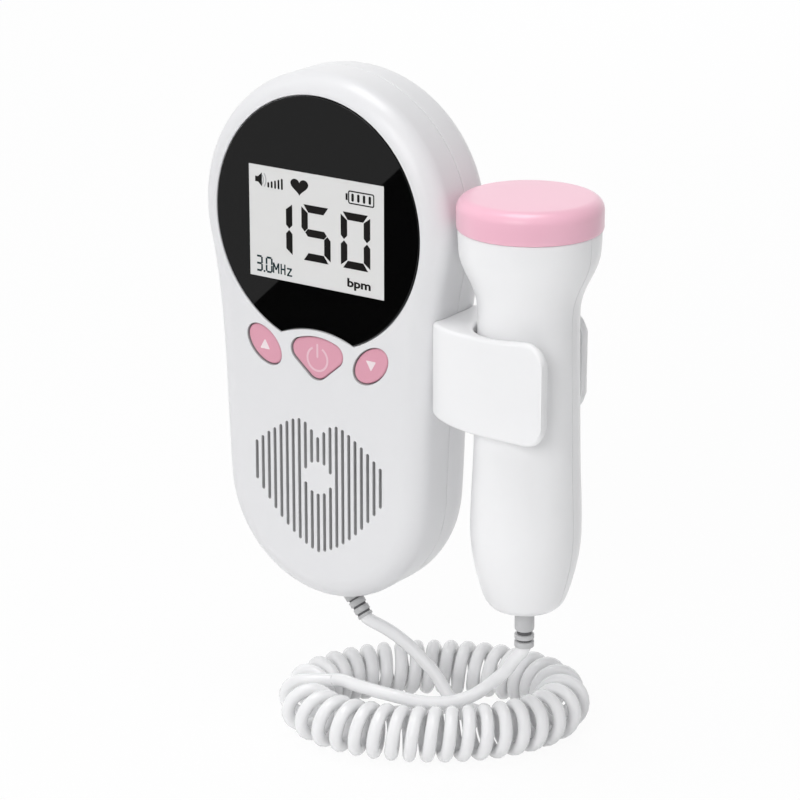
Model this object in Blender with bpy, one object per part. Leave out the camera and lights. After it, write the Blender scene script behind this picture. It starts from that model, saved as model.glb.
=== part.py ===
"""Handheld fetal heart monitor: egg-shaped casing, probe in a side clip, curly cord.

Metres, +Z up, +X to the object's right. The casing's front faces -Y and its flat back lies
in the plane y = 0. The origin is on that back face, behind the centre of the round head.
"""
import math

import bmesh
import bpy
from mathutils import Matrix, Quaternion, Vector

MM = 0.001

# Clearances shared by the whole object
SEAT_GAP = 0.3 * MM
CUT_OVERRUN = 1.0 * MM

# Casing: a large round head and a smaller round foot, joined by tapering sides. Its length
# follows the cells: the foot ends at a set distance below the bay that holds them.
HEAD_RADIUS = 37.0 * MM
FOOT_RADIUS = 30.7 * MM
FOOT_BELOW_BAY = 19.8 * MM
CASING_DEPTH = 28.0 * MM
PARTING_DEPTH = 12.8 * MM
FRONT_EDGE_RADIUS = 6.0 * MM
REAR_EDGE_RADIUS = 11.2 * MM
SIDE_WALL = 2.0 * MM
FACE_WALL = 2.8 * MM
REAR_WALL = 2.0 * MM
SHOULDER_ANGLE = math.radians(13)
WAIST_ANGLE = math.radians(4)

FRONT_Y = -CASING_DEPTH
PARTING_Y = FRONT_Y + PARTING_DEPTH
FACE_INNER_Y = FRONT_Y + FACE_WALL

# Display: lens in its recess, window, glass and backlight stacked behind the face
LENS_SIDE_RIM = 6.1 * MM
LENS_TOP_RIM = 5.1 * MM
LENS_DROP = 0.5 * MM
LENS_THICKNESS = 1.3 * MM
LENS_NOTCH_X = 11.0 * MM
LENS_ARCH_RISE = 2.3 * MM
WINDOW_WIDTH_SHARE = 0.67
WINDOW_HEIGHT_SHARE = 0.453
WINDOW_DROP = 2.45 * MM
GLASS_BORDER = 2.6 * MM
GLASS_THICKNESS = 2.0 * MM
BACKLIGHT_THICKNESS = 2.0 * MM

LENS_HALF_WIDTH = HEAD_RADIUS - LENS_SIDE_RIM
LENS_HALF_HEIGHT = HEAD_RADIUS - LENS_TOP_RIM
WINDOW_HALF_WIDTH = LENS_HALF_WIDTH * WINDOW_WIDTH_SHARE
WINDOW_HALF_HEIGHT = LENS_HALF_HEIGHT * WINDOW_HEIGHT_SHARE
LENS_RECESS_Y = FRONT_Y + LENS_THICKNESS + SEAT_GAP
GLASS_Y = FACE_INNER_Y + SEAT_GAP
BACKLIGHT_Y = GLASS_Y + GLASS_THICKNESS + SEAT_GAP
BOARD_Y = BACKLIGHT_Y + BACKLIGHT_THICKNESS + SEAT_GAP

# Main board, its chips and its screws
BOARD_THICKNESS = 1.2 * MM
BOARD_EDGE_INSET = 7.5 * MM
BOARD_POST_GAP = 1.5 * MM
BOARD_BELOW_BUTTONS = 15.5 * MM
BOARD_CORNER_SHARE = 0.4
BOARD_HALF_WIDTH = HEAD_RADIUS - BOARD_EDGE_INSET
BOARD_REAR_Y = BOARD_Y + BOARD_THICKNESS
CHIP_SIZE = 10.0 * MM
CHIP_HEIGHT = 1.6 * MM
AMPLIFIER_SIZE = 5.0 * MM
CHIP_DROP = 3.0 * MM
BOSS_RADIUS = 2.0 * MM
BOARD_SCREW_RADIUS = 0.9 * MM
BOARD_SCREW_HEAD = 2.0 * MM
BOARD_SCREW_HEAD_HEIGHT = 1.2 * MM
BOARD_SCREW_LENGTH = 4.6 * MM
UPPER_BOSS_DROP = 4.0 * MM
LOWER_BOSS_INSET = 5.7 * MM

# Buttons: two tilted ovals that hug the lens, and a rounded triangle between them
BUTTON_FIT = 0.3 * MM
BUTTON_SINK = 0.25 * MM
BUTTON_TRAVEL = 0.8 * MM
BUTTON_FLANGE = 0.9 * MM
BUTTON_FLANGE_DEPTH = 0.8 * MM
BUTTON_EDGE = 0.4 * MM
BUTTON_STEM_INSET = 2.0 * MM
SIDE_BUTTON_X = 16.5 * MM
SIDE_BUTTON_DROP = 4.3 * MM
SIDE_BUTTON_LONG = 6.0 * MM
SIDE_BUTTON_SHORT = 3.8 * MM
SIDE_BUTTON_TILT = math.radians(42)
POWER_TOP_DROP = 1.4 * MM
POWER_HALF_WIDTH = 11.0 * MM
POWER_SHOULDER_DROP = 3.3 * MM
POWER_HEIGHT = 12.6 * MM
POWER_CORNER = 3.0 * MM
POWER_FOOT_CORNER = 3.4 * MM
POWER_CROWN = 16.0 * MM
SWITCH_SIZE = 6.0 * MM
SWITCH_CORNER = 0.6 * MM
SWITCH_BODY_SHARE = 0.62
SWITCH_STEM_RADIUS = 1.7 * MM
SWITCH_AIR = 0.1 * MM

# Grille: vertical slots whose ends draw a heart, with a round blank in the middle
SLOT_COUNT = 21
SLOT_PITCH = 1.942 * MM
SLOT_WIDTH = 0.9 * MM
BLANK_RADIUS = 4.3 * MM
BLANK_RISE = 2.7 * MM
HEART_TOP_SHARES = (0.70, 0.79, 0.875, 0.905, 0.88, 0.83, 0.765, 0.70, 0.63, 0.55, 0.47)
HEART_FOOT_SHARES = (-0.90, -0.87, -0.825, -0.77, -0.70, -0.62, -0.53, -0.43, -0.315, -0.195, -0.07)

# Speaker behind the grille
CLOTH_THICKNESS = 0.4 * MM
CLOTH_MARGIN = 1.2 * MM
SPEAKER_RADIUS = 14.0 * MM
SPEAKER_FRAME_DEPTH = 2.9 * MM
MAGNET_RADIUS = 8.0 * MM
# Shares of the speaker's radius and of its frame's depth, from the axis round and back
FRAME_SHARES = ((0, 1), (0.79, 1), (0.93, 0.42), (1, 0.42), (1, 0), (0.94, 0), (0.89, 0.31), (0.76, 0.76), (0, 0.76))
CONE_SHARES = ((0, 0.64), (0.72, 0.64), (0.85, 0.26), (0.885, 0.04), (0.85, 0.04), (0.81, 0.17), (0.7, 0.48),
               (0.3, 0.48), (0.2, 0.3), (0, 0.2))

# Battery bay at the back: two AA cells side by side, with a spring and a contact at opposite ends
CELL_DIAMETER = 14.5 * MM
CELL_LENGTH = 50.5 * MM
CELL_NUB_LENGTH = 1.0 * MM
CELL_NUB_RADIUS = 2.75 * MM
CELL_EDGE = 0.6 * MM
CONTACT_THICKNESS = 0.5 * MM
CONTACT_SIZE = 9.0 * MM
SPRING_LENGTH = 2.8 * MM
SPRING_WIRE = 0.6 * MM
SPRING_TURNS = 2
SPRING_FOOT_RADIUS = 4.2 * MM
SPRING_TIP_RADIUS = 2.6 * MM
SPRING_POINTS = 10
BAY_WALL = 2.4 * MM
BAY_TOP_DROP = 26.0 * MM
COVER_THICKNESS = 2.0 * MM
COVER_LEDGE = 1.4 * MM
COVER_CORNER = 3.0 * MM
GRIP_GROOVES = 3
GRIP_PITCH = 2.4 * MM
GRIP_WIDTH = 1.0 * MM
GRIP_HALF_LENGTH = 7.0 * MM
GRIP_DEPTH = 0.5 * MM
GRIP_EDGE_GAP = 4.0 * MM

CELL_RADIUS = CELL_DIAMETER / 2
CELL_X = CELL_RADIUS + SEAT_GAP / 2
CELL_Y = -COVER_THICKNESS - SEAT_GAP - CELL_RADIUS
BAY_HALF_WIDTH = CELL_X + CELL_RADIUS + SEAT_GAP
BAY_LENGTH = CELL_LENGTH + CONTACT_THICKNESS + SPRING_LENGTH + 4 * SEAT_GAP
BAY_TOP_Z = -BAY_TOP_DROP
BAY_BOTTOM_Z = BAY_TOP_Z - BAY_LENGTH
BAY_FLOOR_Y = CELL_Y - CELL_RADIUS - SEAT_GAP
BAY_FRONT_Y = BOARD_REAR_Y + SEAT_GAP
COVER_HALF_WIDTH = BAY_HALF_WIDTH + COVER_LEDGE
COVER_TOP_Z = BAY_TOP_Z + COVER_LEDGE
COVER_BOTTOM_Z = BAY_BOTTOM_Z - COVER_LEDGE
CASING_BOTTOM_Z = BAY_BOTTOM_Z - FOOT_BELOW_BAY
FOOT_Z = CASING_BOTTOM_Z + FOOT_RADIUS

# Case screws and the posts that hold them
POST_EDGE = 9.5 * MM
POST_ANGLE = math.radians(60)
POST_RADIUS = 3.8 * MM
CASE_SCREW_RADIUS = 1.2 * MM
CASE_SCREW_HEAD = 2.4 * MM
CASE_SCREW_HEAD_HEIGHT = 1.8 * MM
CASE_SCREW_SINK = 3.1 * MM
CASE_SCREW_LENGTH = 14.0 * MM
POST_BORE_DEPTH = 5.0 * MM
BOARD_TOP_Z = (HEAD_RADIUS - POST_EDGE) * math.sin(POST_ANGLE) - POST_RADIUS - BOARD_POST_GAP

# Probe: a turned handle with a flared head and a pink end cap, upright beside the casing
CAP_RADIUS = 17.85 * MM
CAP_HEIGHT = 8.0 * MM
CAP_EDGE = 3.2 * MM
CAP_WALL = 1.6 * MM
CAP_SEAM_Z = 4.35 * MM
PROBE_GAP = 0.3 * MM
PROBE_BEHIND_FACE = 12.0 * MM
PROBE_LENGTH = 97.15 * MM
PROBE_WALL = 1.8 * MM
PROBE_PULL = 32.0 * MM
# Shares of the shell's length below the seam, and of the cap's radius, down the outside
HANDLE_SHARES = ((0, 0.975), (0.03, 0.971), (0.06, 0.96), (0.081, 0.935), (0.1, 0.896), (0.12, 0.845),
                 (0.139, 0.795), (0.165, 0.74), (0.194, 0.706), (0.238, 0.695), (0.31, 0.70), (0.432, 0.717),
                 (0.605, 0.74), (0.717, 0.765), (0.783, 0.773), (0.827, 0.762), (0.878, 0.723), (0.93, 0.655),
                 (0.966, 0.595), (0.987, 0.54), (1, 0.47))
HOLDER_THICKNESS = 3.3 * MM
CRYSTAL_THICKNESS = 1.1 * MM
CRYSTAL_RADIUS = 12.0 * MM
PROBE_BOARD_LENGTH = 42.0 * MM
PROBE_BOARD_DROP = 20.0 * MM
PROBE_BOARD_EDGE_GAP = 0.35 * MM

PROBE_X = HEAD_RADIUS + PROBE_GAP + CAP_RADIUS
PROBE_Y = FRONT_Y + PROBE_BEHIND_FACE
PROBE_BOTTOM_Z = CAP_SEAM_Z - PROBE_LENGTH

# Clip on the casing's side: a flat arm before the handle, a shorter one behind it
CLIP_WALL = 2.6 * MM
CLIP_FIT = 0.3 * MM
CLIP_GRIP_SHARE = 0.7283
CLIP_TOP_Z = -20.1 * MM
CLIP_HEIGHT = 25.1 * MM
CLIP_END_RISE = 0.9 * MM
CLIP_ROOT_TAPER = 0.8 * MM
CLIP_CORNER = 5.0 * MM
CLIP_FRONT_REACH = 14.0 * MM
CLIP_REAR_REACH = 7.2 * MM
CLIP_ROOT_BITE = 4.95 * MM
CLIP_ROOT_DEPTH = 10.0 * MM
CLIP_SCREW_RADIUS = 1.1 * MM
CLIP_SCREW_HEAD = 2.2 * MM
CLIP_SCREW_HEAD_HEIGHT = 1.5 * MM
CLIP_SCREW_SINK = 0.5 * MM
CLIP_SCREW_LENGTH = 12.0 * MM
CLIP_SCREW_BEHIND = 7.0 * MM
CLIP_SCREW_SPACING = 11.0 * MM

CLIP_GRIP_RADIUS = CAP_RADIUS * CLIP_GRIP_SHARE
CLIP_ROOT_REACH = PROBE_GAP + CAP_RADIUS + CLIP_ROOT_BITE

# Cord: 3.4 mm across, wound into curls that lie in an oval ring on the floor
CORD_DIAMETER = 3.4 * MM
CURL_RADIUS = 5.5 * MM
CURL_POINTS = 9
CURL_AIR = 0.45 * MM
RING_HALF_LENGTH = 33.2 * MM
RING_HALF_WIDTH = 21.3 * MM
RING_TURN = math.radians(35)
RING_PLACE_SHARE = 0.4823
RING_Y = -14.3 * MM
FLOOR_DROP = 33.4 * MM
LEAD_STEP = 7.0 * MM

RING_X = PROBE_X * RING_PLACE_SHARE
FLOOR_Z = CASING_BOTTOM_Z - FLOOR_DROP
CURL_HEIGHT = 2 * CURL_RADIUS + CORD_DIAMETER
RING_Z = FLOOR_Z + CURL_HEIGHT / 2
LYING_SHARE = CORD_DIAMETER / 2 / CURL_HEIGHT
# Points of the two leads between their straight ends, as shares of the ring's half length,
# of its half width and of the curls' height above the floor
UNIT_ROUTE = ((-0.355, 0.347, 1.64), (-0.212, 0.191, 1.47), (-0.084, 0.051, 1.24), (0.03, -0.073, 0.98),
              (0.1, -0.17, 0.74), (0.19, -0.25, 0.46), (0.31, -0.2, 0.22), (0.4, -0.01, LYING_SHARE),
              (0.35, 0.22, LYING_SHARE), (0.18, 0.33, LYING_SHARE), (-0.06, 0.31, LYING_SHARE),
              (-0.3, 0.19, LYING_SHARE), (-0.55, 0.04, LYING_SHARE))
PROBE_ROUTE = ((0.6, -0.746, 1.75), (0.542, -0.667, 1.49), (0.441, -0.556, 1.2), (0.316, -0.568, 0.986),
               (0.187, -0.601, 0.882), (0.024, -0.634, 0.854), (-0.136, -0.629, 0.882),
               (-0.294, -0.596, 0.958), (-0.458, -0.53, 1.02), (-0.61, -0.385, 1.04), (-0.71, -0.16, 0.98))

# Strain reliefs, both ribbed and tapered
RELIEF_RADIUS = 2.4 * MM
RELIEF_TIP_RADIUS = 2.2 * MM
RELIEF_OUTSIDE = 6.9 * MM
RELIEF_FLANGE = 3.6 * MM
RELIEF_FLANGE_DEPTH = 1.5 * MM
RELIEF_NECK_SHARE = 0.74
RELIEF_TILT = math.radians(39)
RELIEF_X = -0.6 * MM
PROBE_RELIEF_RADIUS = 2.55 * MM
PROBE_RELIEF_OUTSIDE = 8.6 * MM
# First and last share of the sleeve's length that each groove takes
UNIT_GROOVES = ((0.21, 0.26), (0.47, 0.54), (0.77, 0.84))
PROBE_GROOVES = ((0.48, 0.62), (0.73, 0.81))

# Colours from the photograph
WHITE = (0.87, 0.88, 0.90)
PINK = (0.86, 0.42, 0.55)
CAP_PINK = (0.95, 0.60, 0.72)
BLACK = (0.01, 0.01, 0.012)
PALE_GREY = (0.70, 0.72, 0.72)
BOARD_GREEN = (0.05, 0.26, 0.12)
DARK = (0.04, 0.04, 0.045)
STEEL = (0.62, 0.62, 0.64)
COPPER = (0.55, 0.28, 0.14)

SHARP_ANGLE = math.radians(38)
ROUND_SIDES = 28
SMALL_SIDES = 14


# Objects, materials and cuts

def clear_scene():
    """Remove everything that the file starts with."""
    for obj in list(bpy.data.objects):
        bpy.data.objects.remove(obj, do_unlink=True)


def make_material(name, colour, roughness, metallic=0.0):
    """A plain Principled material."""
    material = bpy.data.materials.new(name)
    material.use_nodes = True
    shader = material.node_tree.nodes["Principled BSDF"]
    shader.inputs["Base Color"].default_value = (*colour, 1.0)
    shader.inputs["Roughness"].default_value = roughness
    shader.inputs["Metallic"].default_value = metallic
    return material


def make_object(name, vertices, faces, material, location=(0, 0, 0), parent=None):
    """One mesh object with outward faces, smooth where it is round."""
    mesh = bpy.data.meshes.new(name)
    mesh.from_pydata([tuple(v) for v in vertices], [], faces)
    shape = bmesh.new()
    shape.from_mesh(mesh)
    bmesh.ops.recalc_face_normals(shape, faces=shape.faces)
    shape.to_mesh(mesh)
    shape.free()
    mesh.materials.append(material)
    mesh.shade_smooth()
    mesh.set_sharp_from_angle(angle=SHARP_ANGLE)
    obj = bpy.data.objects.new(name, mesh)
    bpy.context.scene.collection.objects.link(obj)
    obj.location = location
    obj.parent = parent
    return obj


def make_carrier(name, location):
    """An empty that carries the pieces of one moving group."""
    carrier = bpy.data.objects.new(name, None)
    bpy.context.scene.collection.objects.link(carrier)
    carrier.location = location
    return carrier


def boolean(target, tool, operation):
    """Cut the tool from the target, join it, or keep what both share."""
    tool.hide_render = True
    tool.display_type = "WIRE"
    modifier = target.modifiers.new(tool.name, "BOOLEAN")
    modifier.operation = operation
    modifier.solver = "EXACT"
    modifier.object = tool


def apply_cuts(obj):
    """Turn an object's cuts into its own mesh, sharp where its faces turn."""
    bpy.context.view_layer.update()
    mesh = bpy.data.meshes.new_from_object(obj.evaluated_get(bpy.context.evaluated_depsgraph_get()))
    tools = [modifier.object for modifier in obj.modifiers]
    obj.modifiers.clear()
    obj.data = mesh
    mesh.shade_smooth()
    mesh.set_sharp_from_angle(angle=SHARP_ANGLE)
    for tool in tools:
        bpy.data.objects.remove(tool, do_unlink=True)
    return obj


def join_shapes(shapes):
    """Vertices and faces of several separate closed shapes as one list."""
    vertices, faces = [], []
    for shape_vertices, shape_faces in shapes:
        start = len(vertices)
        vertices.extend(shape_vertices)
        faces.extend([tuple(start + i for i in face) for face in shape_faces])
    return vertices, faces


# Closed shapes

def loft(rings):
    """A closed shape through rings of equal length, capped at both ends."""
    count = len(rings[0])
    vertices = [Vector(p) for ring in rings for p in ring]
    faces = [tuple(range(count))]
    for level in range(len(rings) - 1):
        base = level * count
        for i in range(count):
            j = (i + 1) % count
            faces.append((base + i, base + j, base + count + j, base + count + i))
    faces.append(tuple(reversed(range(len(vertices) - count, len(vertices)))))
    return vertices, faces


def flat_ring(outline, y):
    """An outline of (x, z) points as a ring at depth y."""
    return [(x, y, z) for x, z in outline]


def prism(outline, y_front, y_rear):
    """An outline of (x, z) points pushed from y_front to y_rear."""
    return loft([flat_ring(outline, y_front), flat_ring(outline, y_rear)])


def turned(profile, sides, start=0.0, sweep=2 * math.pi):
    """A profile of (radius, height) turned about the local Z axis.

    A profile that ends on the axis at both ends is solid there. Any other profile closes on
    itself. A sweep below a full turn is closed with a flat face at each end.
    """
    solid = profile[0][0] == 0 and profile[-1][0] == 0
    full = sweep >= 2 * math.pi
    steps = sides if full else sides + 1
    angles = [start + sweep * k / sides for k in range(steps)]
    vertices, faces, columns = [], [], []
    poles = {}
    if solid:
        for end in (0, len(profile) - 1):
            poles[end] = len(vertices)
            vertices.append(Vector((0, 0, profile[end][1])))
    for angle in angles:
        column = []
        for index, (radius, height) in enumerate(profile):
            if index in poles:
                column.append(poles[index])
                continue
            column.append(len(vertices))
            vertices.append(Vector((radius * math.cos(angle), radius * math.sin(angle), height)))
        columns.append(column)
    spans = len(profile) - 1 if solid else len(profile)
    turns = steps if full else steps - 1
    for k in range(turns):
        one, two = columns[k], columns[(k + 1) % steps]
        for i in range(spans):
            j = (i + 1) % len(profile)
            corners = []
            for corner in (one[i], two[i], two[j], one[j]):
                if corner not in corners:
                    corners.append(corner)
            faces.append(tuple(corners))
    if not full:
        faces.append(tuple(columns[0]))
        faces.append(tuple(reversed(columns[-1])))
    return vertices, faces


def placed(shape, matrix):
    """A shape moved by a matrix."""
    vertices, faces = shape
    return [matrix @ Vector(v) for v in vertices], faces


def along(direction, origin):
    """A matrix that lays the local Z axis along a direction from an origin."""
    turn = Vector((0, 0, 1)).rotation_difference(Vector(direction))
    return Matrix.Translation(Vector(origin)) @ turn.to_matrix().to_4x4()


def shaft(radius, length, sides=SMALL_SIDES):
    """A plain round bar from the origin up the local Z axis."""
    return turned([(0, 0), (radius, 0), (radius, length), (0, length)], sides)


def screw(head_radius, head_height, shaft_radius, length, sides=SMALL_SIDES):
    """A screw with its head below the origin and its shaft up the local Z axis."""
    profile = [(0, -head_height), (head_radius, -head_height), (head_radius, 0),
               (shaft_radius, 0), (shaft_radius, length), (0, length)]
    return turned(profile, sides)


# Outlines in the plane of the face, as (x, z) points

def arc(centre, radius, first, last, steps):
    """Points on a circle from one angle to another, ends included."""
    angles = [first + (last - first) * k / steps for k in range(steps + 1)]
    return [(centre[0] + radius * math.cos(a), centre[1] + radius * math.sin(a)) for a in angles]


def casing_outline(inset):
    """The casing's outline moved inwards by inset, counterclockwise from the foot."""
    head, foot = HEAD_RADIUS - inset, FOOT_RADIUS - inset
    lower = arc((0, FOOT_Z), foot, -math.pi / 2, -WAIST_ANGLE, 8)
    upper = arc((0, 0), head, -SHOULDER_ANGLE, math.pi / 2, 11)
    start, end = Vector(lower[-1]), Vector(upper[0])
    chord = (end - start).length
    leave = Vector((math.sin(WAIST_ANGLE), math.cos(WAIST_ANGLE))) * chord
    arrive = Vector((math.sin(SHOULDER_ANGLE), math.cos(SHOULDER_ANGLE))) * chord
    side = []
    for k in range(1, 6):
        t = k / 6
        point = ((2 * t ** 3 - 3 * t ** 2 + 1) * start + (t ** 3 - 2 * t ** 2 + t) * leave
                 + (3 * t ** 2 - 2 * t ** 3) * end + (t ** 3 - t ** 2) * arrive)
        side.append((point.x, point.y))
    right = lower + side + upper
    left = [(-x, z) for x, z in reversed(right[1:-1])]
    return right + left


def lens_outline(offset):
    """The round lens with its arch over the power button, moved outwards by offset."""
    half_width, half_height = LENS_HALF_WIDTH + offset, LENS_HALF_HEIGHT + offset
    notch_x = LENS_NOTCH_X + offset
    notch = math.acos(notch_x / half_width)
    sweep = math.pi + 2 * notch
    steps = 36
    points = []
    for k in range(steps + 1):
        angle = -notch + sweep * k / steps
        points.append((half_width * math.cos(angle), half_height * math.sin(angle) - LENS_DROP))
    radius = (notch_x ** 2 + LENS_ARCH_RISE ** 2) / (2 * LENS_ARCH_RISE)
    half_angle = math.asin(notch_x / radius)
    centre = (0, points[0][1] + LENS_ARCH_RISE - radius)
    arch = arc(centre, radius, math.pi / 2 + half_angle, math.pi / 2 - half_angle, 8)
    return points + arch[1:-1]


def lens_notch_z():
    """Height of the two corners where the arch meets the lens's round edge."""
    share = LENS_NOTCH_X / LENS_HALF_WIDTH
    return -LENS_DROP - LENS_HALF_HEIGHT * math.sqrt(1 - share ** 2)


def oval_outline(half_long, half_short, tilt, steps=24):
    """A full oval, its long axis turned by tilt from the x axis."""
    points = []
    for k in range(steps):
        angle = 2 * math.pi * k / steps
        u, v = half_long * math.cos(angle), half_short * math.sin(angle)
        points.append((u * math.cos(tilt) - v * math.sin(tilt), u * math.sin(tilt) + v * math.cos(tilt)))
    return points


def rounded_polygon(corners, radii, steps):
    """A polygon with an arc of its own radius at each corner, counterclockwise."""
    points = []
    count = len(corners)
    for i, corner in enumerate(corners):
        here = Vector(corner)
        back = (Vector(corners[i - 1]) - here).normalized()
        ahead = (Vector(corners[(i + 1) % count]) - here).normalized()
        half = back.angle(ahead) / 2
        middle = here + (back + ahead).normalized() * radii[i] / math.sin(half)
        start = here + back * radii[i] / math.tan(half) - middle
        turn = math.pi - 2 * half
        for k in range(steps + 1):
            angle = turn * k / steps
            points.append((middle.x + start.x * math.cos(angle) - start.y * math.sin(angle),
                           middle.y + start.x * math.sin(angle) + start.y * math.cos(angle)))
    return points


def rounded_rectangle(half_width, bottom, top, radius, steps=4):
    """A rectangle centred on x = 0, with round corners, counterclockwise."""
    corners = [(-half_width, bottom), (half_width, bottom), (half_width, top), (-half_width, top)]
    return rounded_polygon(corners, [radius] * 4, steps)


def power_outline():
    """The power button: arched top, two round shoulders and a round foot, about its own middle."""
    top = POWER_HEIGHT / 2
    corners = [(0, -top), (POWER_HALF_WIDTH, top - POWER_SHOULDER_DROP), (0, top),
               (-POWER_HALF_WIDTH, top - POWER_SHOULDER_DROP)]
    return rounded_polygon(corners, [POWER_FOOT_CORNER, POWER_CORNER, POWER_CROWN, POWER_CORNER], 6)


def grown(outline, offset):
    """An outline moved outwards by offset along the average of its edges' normals."""
    points = []
    count = len(outline)
    for i, point in enumerate(outline):
        here = Vector(point)
        edge_in = (here - Vector(outline[i - 1])).normalized()
        edge_out = (Vector(outline[(i + 1) % count]) - here).normalized()
        tangent = (edge_in + edge_out).normalized()
        moved = here + Vector((tangent.y, -tangent.x)) * offset
        points.append((moved.x, moved.y))
    return points


def shifted(outline, x, z):
    """An outline moved by x and z."""
    return [(px + x, pz + z) for px, pz in outline]


# Casing

def edge_profile(edge_radius, face_y, side_y, steps):
    """(inset, y) points round a quarter edge, from the face out to the side."""
    inwards = math.copysign(edge_radius, side_y - face_y)
    points = []
    for k in range(steps + 1):
        angle = math.pi / 2 * k / steps
        points.append((edge_radius * (1 - math.sin(angle)), face_y + inwards * (1 - math.cos(angle))))
    points.append((0, side_y))
    return points


def shell_shape(face_y, side_y, edge_radius, wall, face_wall, steps):
    """A dished half of the casing, open at its parting edge."""
    outer = edge_profile(edge_radius, face_y, side_y, steps)
    inner_face_y = face_y + math.copysign(face_wall, side_y - face_y)
    inner = edge_profile(edge_radius - wall, inner_face_y, side_y, 3)
    profile = outer + [(inset + wall, y) for inset, y in reversed(inner)]
    return loft([flat_ring(casing_outline(inset), y) for inset, y in profile])


def casing_envelope(growth):
    """The whole casing as one closed form, grown on all sides."""
    front = edge_profile(FRONT_EDGE_RADIUS, FRONT_Y - growth, PARTING_Y, 4)
    rear = edge_profile(REAR_EDGE_RADIUS, growth, PARTING_Y, 6)
    profile = front + list(reversed(rear[:-1]))
    return loft([flat_ring(casing_outline(inset - growth), y) for inset, y in profile])


def post_places():
    """(x, z) of the four case screws."""
    head, foot = HEAD_RADIUS - POST_EDGE, FOOT_RADIUS - POST_EDGE
    places = []
    for side in (-1, 1):
        places.append((side * head * math.cos(POST_ANGLE), head * math.sin(POST_ANGLE)))
        places.append((side * foot * math.cos(POST_ANGLE), FOOT_Z - foot * math.sin(POST_ANGLE)))
    return places


def boss_places():
    """(x, z) of the four board screws."""
    upper_x = (WINDOW_HALF_WIDTH + GLASS_BORDER + BOARD_HALF_WIDTH) / 2
    lower_x = (BAY_HALF_WIDTH + BAY_WALL + BOARD_HALF_WIDTH) / 2
    lower_z = board_bottom_z() + LOWER_BOSS_INSET
    return [(-upper_x, -UPPER_BOSS_DROP), (upper_x, -UPPER_BOSS_DROP), (-lower_x, lower_z), (lower_x, lower_z)]


def board_bottom_z():
    """Lower edge of the main board."""
    return side_button_z() - BOARD_BELOW_BUTTONS


def side_button_z():
    """Height of the up and down buttons' centres."""
    return lens_notch_z() - SIDE_BUTTON_DROP


def power_button_z():
    """Height of the middle of the power button's outline."""
    return lens_notch_z() + LENS_ARCH_RISE - POWER_TOP_DROP - POWER_HEIGHT / 2


def backward(origin_y, place):
    """A matrix for a turned shape whose axis runs backwards from a place on the face."""
    return along((0, 1, 0), (place[0], origin_y, place[1]))


def slot_spans(index):
    """(bottom, top) of each stretch of one slot, counted from the middle of the heart."""
    half_heart = SLOT_PITCH * (SLOT_COUNT - 1) / 2
    x = SLOT_PITCH * index
    top = FOOT_Z + HEART_TOP_SHARES[abs(index)] * half_heart
    bottom = FOOT_Z + HEART_FOOT_SHARES[abs(index)] * half_heart
    if abs(x) >= BLANK_RADIUS:
        return [(bottom, top)]
    reach = math.sqrt(BLANK_RADIUS ** 2 - x ** 2)
    middle = FOOT_Z + BLANK_RISE
    return [(bottom, middle - reach), (middle + reach, top)]


def heart_outline(margin):
    """The outline round all slots, with a margin."""
    span = (SLOT_COUNT - 1) // 2
    lower, upper = [], []
    for index in range(-span, span + 1):
        x = SLOT_PITCH * index + margin * index / span
        ends = slot_spans(index)
        lower.append((x, ends[0][0] - margin))
        upper.append((x, ends[-1][1] + margin))
    return lower + upper[::-1]


def slot_shapes():
    """A cutter for each slot of the grille."""
    shapes = []
    half = SLOT_WIDTH / 2
    span = (SLOT_COUNT - 1) // 2
    for index in range(-span, span + 1):
        for bottom, top in slot_spans(index):
            x = SLOT_PITCH * index
            outline = arc((x, bottom + half), half, math.pi, 2 * math.pi, 3)
            outline += arc((x, top - half), half, 0, math.pi, 3)
            shapes.append(prism(outline, FRONT_Y - CUT_OVERRUN, FACE_INNER_Y + CUT_OVERRUN))
    return shapes


def button_outlines():
    """(name, outline, x, z) of each button."""
    side_z = side_button_z()
    left = oval_outline(SIDE_BUTTON_LONG, SIDE_BUTTON_SHORT, -SIDE_BUTTON_TILT)
    right = oval_outline(SIDE_BUTTON_LONG, SIDE_BUTTON_SHORT, SIDE_BUTTON_TILT)
    return [("up_button", left, -SIDE_BUTTON_X, side_z),
            ("power_button", power_outline(), 0, power_button_z()),
            ("down_button", right, SIDE_BUTTON_X, side_z)]


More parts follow.
